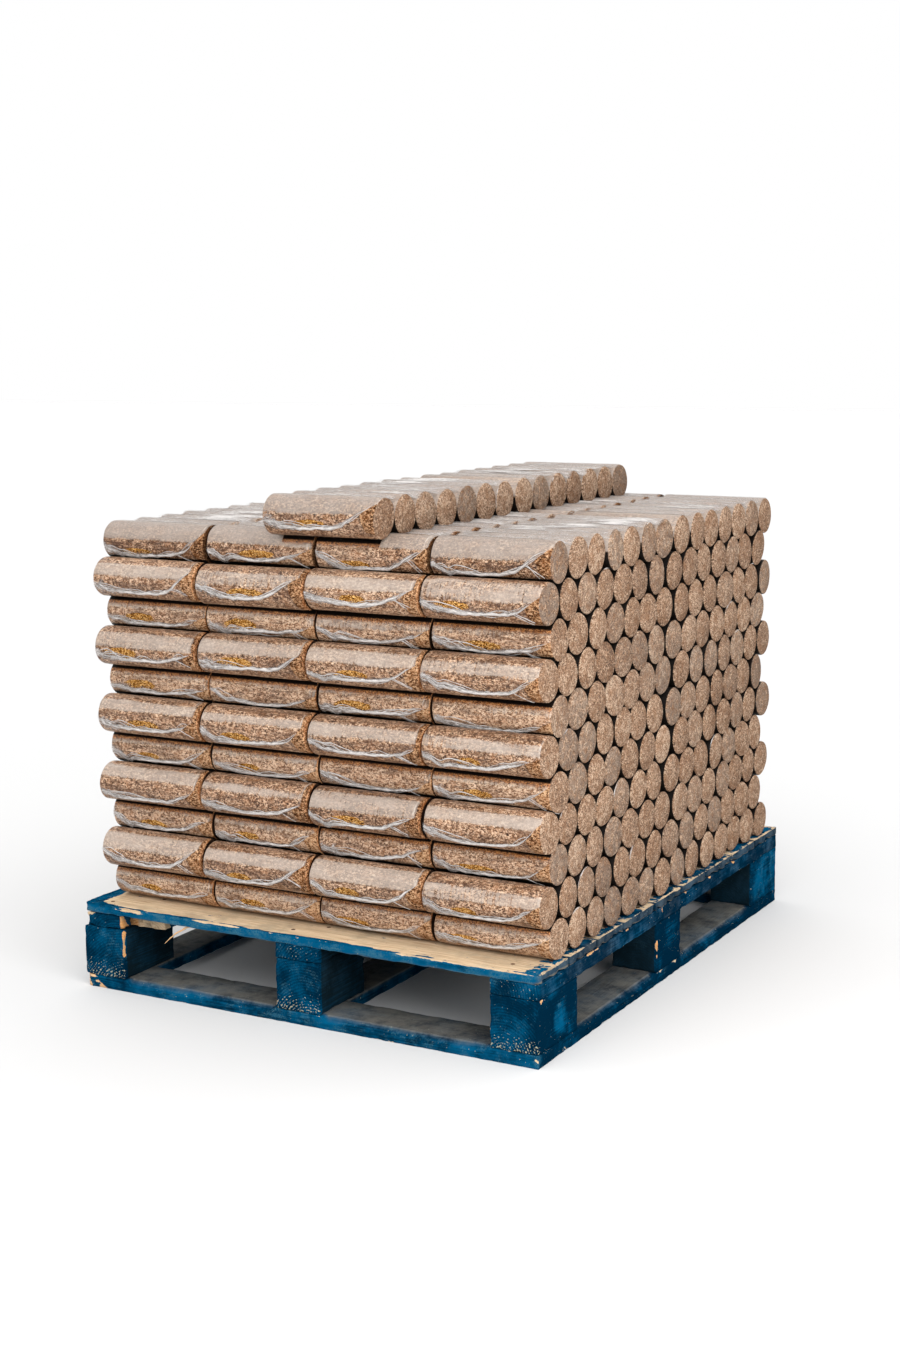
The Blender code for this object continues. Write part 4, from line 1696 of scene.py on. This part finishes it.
def model_nail():
    start_clean()
    bpy.ops.mesh.primitive_cylinder_add(vertices=12, radius=NAIL_HEAD_R, depth=0.0016, end_fill_type="NGON")
    nail = bpy.context.object
    set_mode("EDIT")
    edit_select(nail, "faces", lambda f: f.normal.z > 0.9)
    bpy.ops.mesh.inset(thickness=0.0009, depth=0.0003)
    set_mode("OBJECT")
    return nail


def drive_nail(nail, x, y, z):
    tilt = Matrix.Rotation(rng.uniform(-0.06, 0.06), 4, "X") @ Matrix.Rotation(rng.uniform(0, 6), 4, "Z")
    driven = copy_of(nail, "nail")
    driven.data.transform(Matrix.Translation((x, y, z)) @ tilt)
    return driven


def nails_at(nail, deck, stringer):
    """Two nails, askew, where a deck board crosses a stringer."""
    low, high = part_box(deck)
    side_low, side_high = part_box(stringer)
    made = []
    for sign in (-1, 1):
        y = (low[1] + high[1]) / 2 + sign * (high[1] - low[1]) * 0.20 + rng.uniform(-0.008, 0.008)
        x = (side_low[0] + side_high[0]) / 2 + sign * ((side_high[0] - side_low[0]) * 0.24)
        made.append(drive_nail(nail, x + rng.uniform(-0.008, 0.008), y, deck_top - 0.0006))
    return made


rust_material = make_rust_material()
deck_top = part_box("deck_01")[1][2]
nail = model_nail()
nails = []
for node in DECK_NODES:
    for rail in ("left", "middle", "right"):
        nails += nails_at(nail, node, "stringer_" + rail)
bpy.data.objects.remove(nail, do_unlink=True)
finish_piece(join_pieces(nails, "deck_nails"), rust_material)

# %% Model the splinter
SPLINTER_TOP = Vector((-0.2480, -0.5945, 0.1532))
SPLINTER_TIP = Vector((-0.3070, -0.5965, 0.1115))
SPLINTER_WIDE = 0.0026
SPLINTER_THICK = 0.0034
SPLINTER_CUTS = 16


def model_splinter():
    """A sliver along X, thinner to its tip and bowed, then turned to hang in its place."""
    line = SPLINTER_TIP - SPLINTER_TOP
    half = Vector((line.length / 2, SPLINTER_WIDE / 2, SPLINTER_THICK / 2))
    start_clean()
    bpy.ops.mesh.primitive_cube_add(size=1.0, location=(0, 0, 0))
    splinter = bpy.context.object
    splinter.scale = (line.length, SPLINTER_WIDE, SPLINTER_THICK)
    apply_all()
    set_mode("EDIT")
    for number in range(1, SPLINTER_CUTS):
        bisect_all((-line.length / 2 + line.length * number / SPLINTER_CUTS, 0, 0), (1, 0, 0))
    set_mode("OBJECT")
    splinter["low"], splinter["high"], splinter["axis"] = list(-half), list(half), 0
    wear_board(splinter, 0.0, worn=lambda co: 1.3, fresh=lambda co: 0.55)
    for vert in splinter.data.vertices:
        u = clamp(vert.co.x / line.length + 0.5)
        thin = 1.0 - 0.72 * u ** 1.5 + 0.18 * wave(u * 9, vert.co.y * 200, 4)
        bow = 0.0035 * math.sin(math.pi * u) + 0.0012 * wave(u * 5, 1, 0)
        vert.co = Vector((vert.co.x, vert.co.y * thin, vert.co.z * thin + bow))
    turn = line.to_track_quat("X", "Z").to_matrix().to_4x4()
    splinter.data.transform(Matrix.Translation((SPLINTER_TOP + SPLINTER_TIP) / 2) @ turn)
    return splinter


splinter = model_splinter()
rename(splinter, "deck_splinter")
splinter.data.shade_smooth()
finish_piece(splinter, board_material, "deck_wood")
print("splinter:", len(splinter.data.polygons), "faces")

# %% [markdown]
# ## Floor and light
#
# A plain pale floor and a white surround, with two very soft suns, one from above and one from the
# front and right, like an overcast sky. A sun is used in place of an area lamp, because it lights the
# floor evenly as far as the eye sees, so the floor runs into the surround with no hard horizon. One
# weak area lamp near the front right corner opens up the shade inside the pallet.

# %% Floor and lights
def make_floor():
    start_clean()
    bpy.ops.mesh.primitive_plane_add(size=60.0, location=(0, 0, 0))
    floor = bpy.context.object
    floor.name = "floor"
    material, shader, _ = start_material("pale_floor")
    feed(shader, {"Base Color": (0.575, 0.575, 0.575), "Roughness": 0.9, "Specular IOR Level": 0.2})
    floor.data.materials.append(material)


def add_lamp(name, kind, power, towards, place=(0, 0, 0)):
    """A lamp whose light comes from the direction that towards gives."""
    data = bpy.data.lights.new(name, kind)
    data.energy = power
    lamp = add_object(name, data)
    lamp.location = place
    lamp.rotation_euler = Vector(towards).to_track_quat("Z", "Y").to_euler()
    return data


def add_sun(name, elevation, turn, strength, angle):
    """A soft sun; turn is measured from the front (-Y) towards the right (+X)."""
    e, t = math.radians(elevation), math.radians(turn)
    towards = (math.cos(e) * math.sin(t), -math.cos(e) * math.cos(t), math.sin(e))
    add_lamp(name, "SUN", strength, towards).angle = math.radians(angle)


def add_area(name, place, target, size, power):
    add_lamp(name, "AREA", power, Vector(place) - Vector(target), place).size = size


def make_world():
    world = bpy.data.worlds.new("pale_surround")
    bpy.context.scene.world = world
    world.use_nodes = True
    back = world.node_tree.nodes["Background"]
    back.inputs["Color"].default_value = (1.0, 1.0, 1.0, 1.0)
    back.inputs["Strength"].default_value = 1.0


make_floor()
make_world()
add_sun("soft_key", 50, 22, 1.55, 60)
add_sun("soft_top", 84, 0, 1.15, 110)
add_area("soft_corner", (2.1, -1.4, 1.0), (0.45, -0.55, 0.5), 1.2, 32)
bpy.context.scene.view_settings.view_transform = "Standard"
print("stage set")
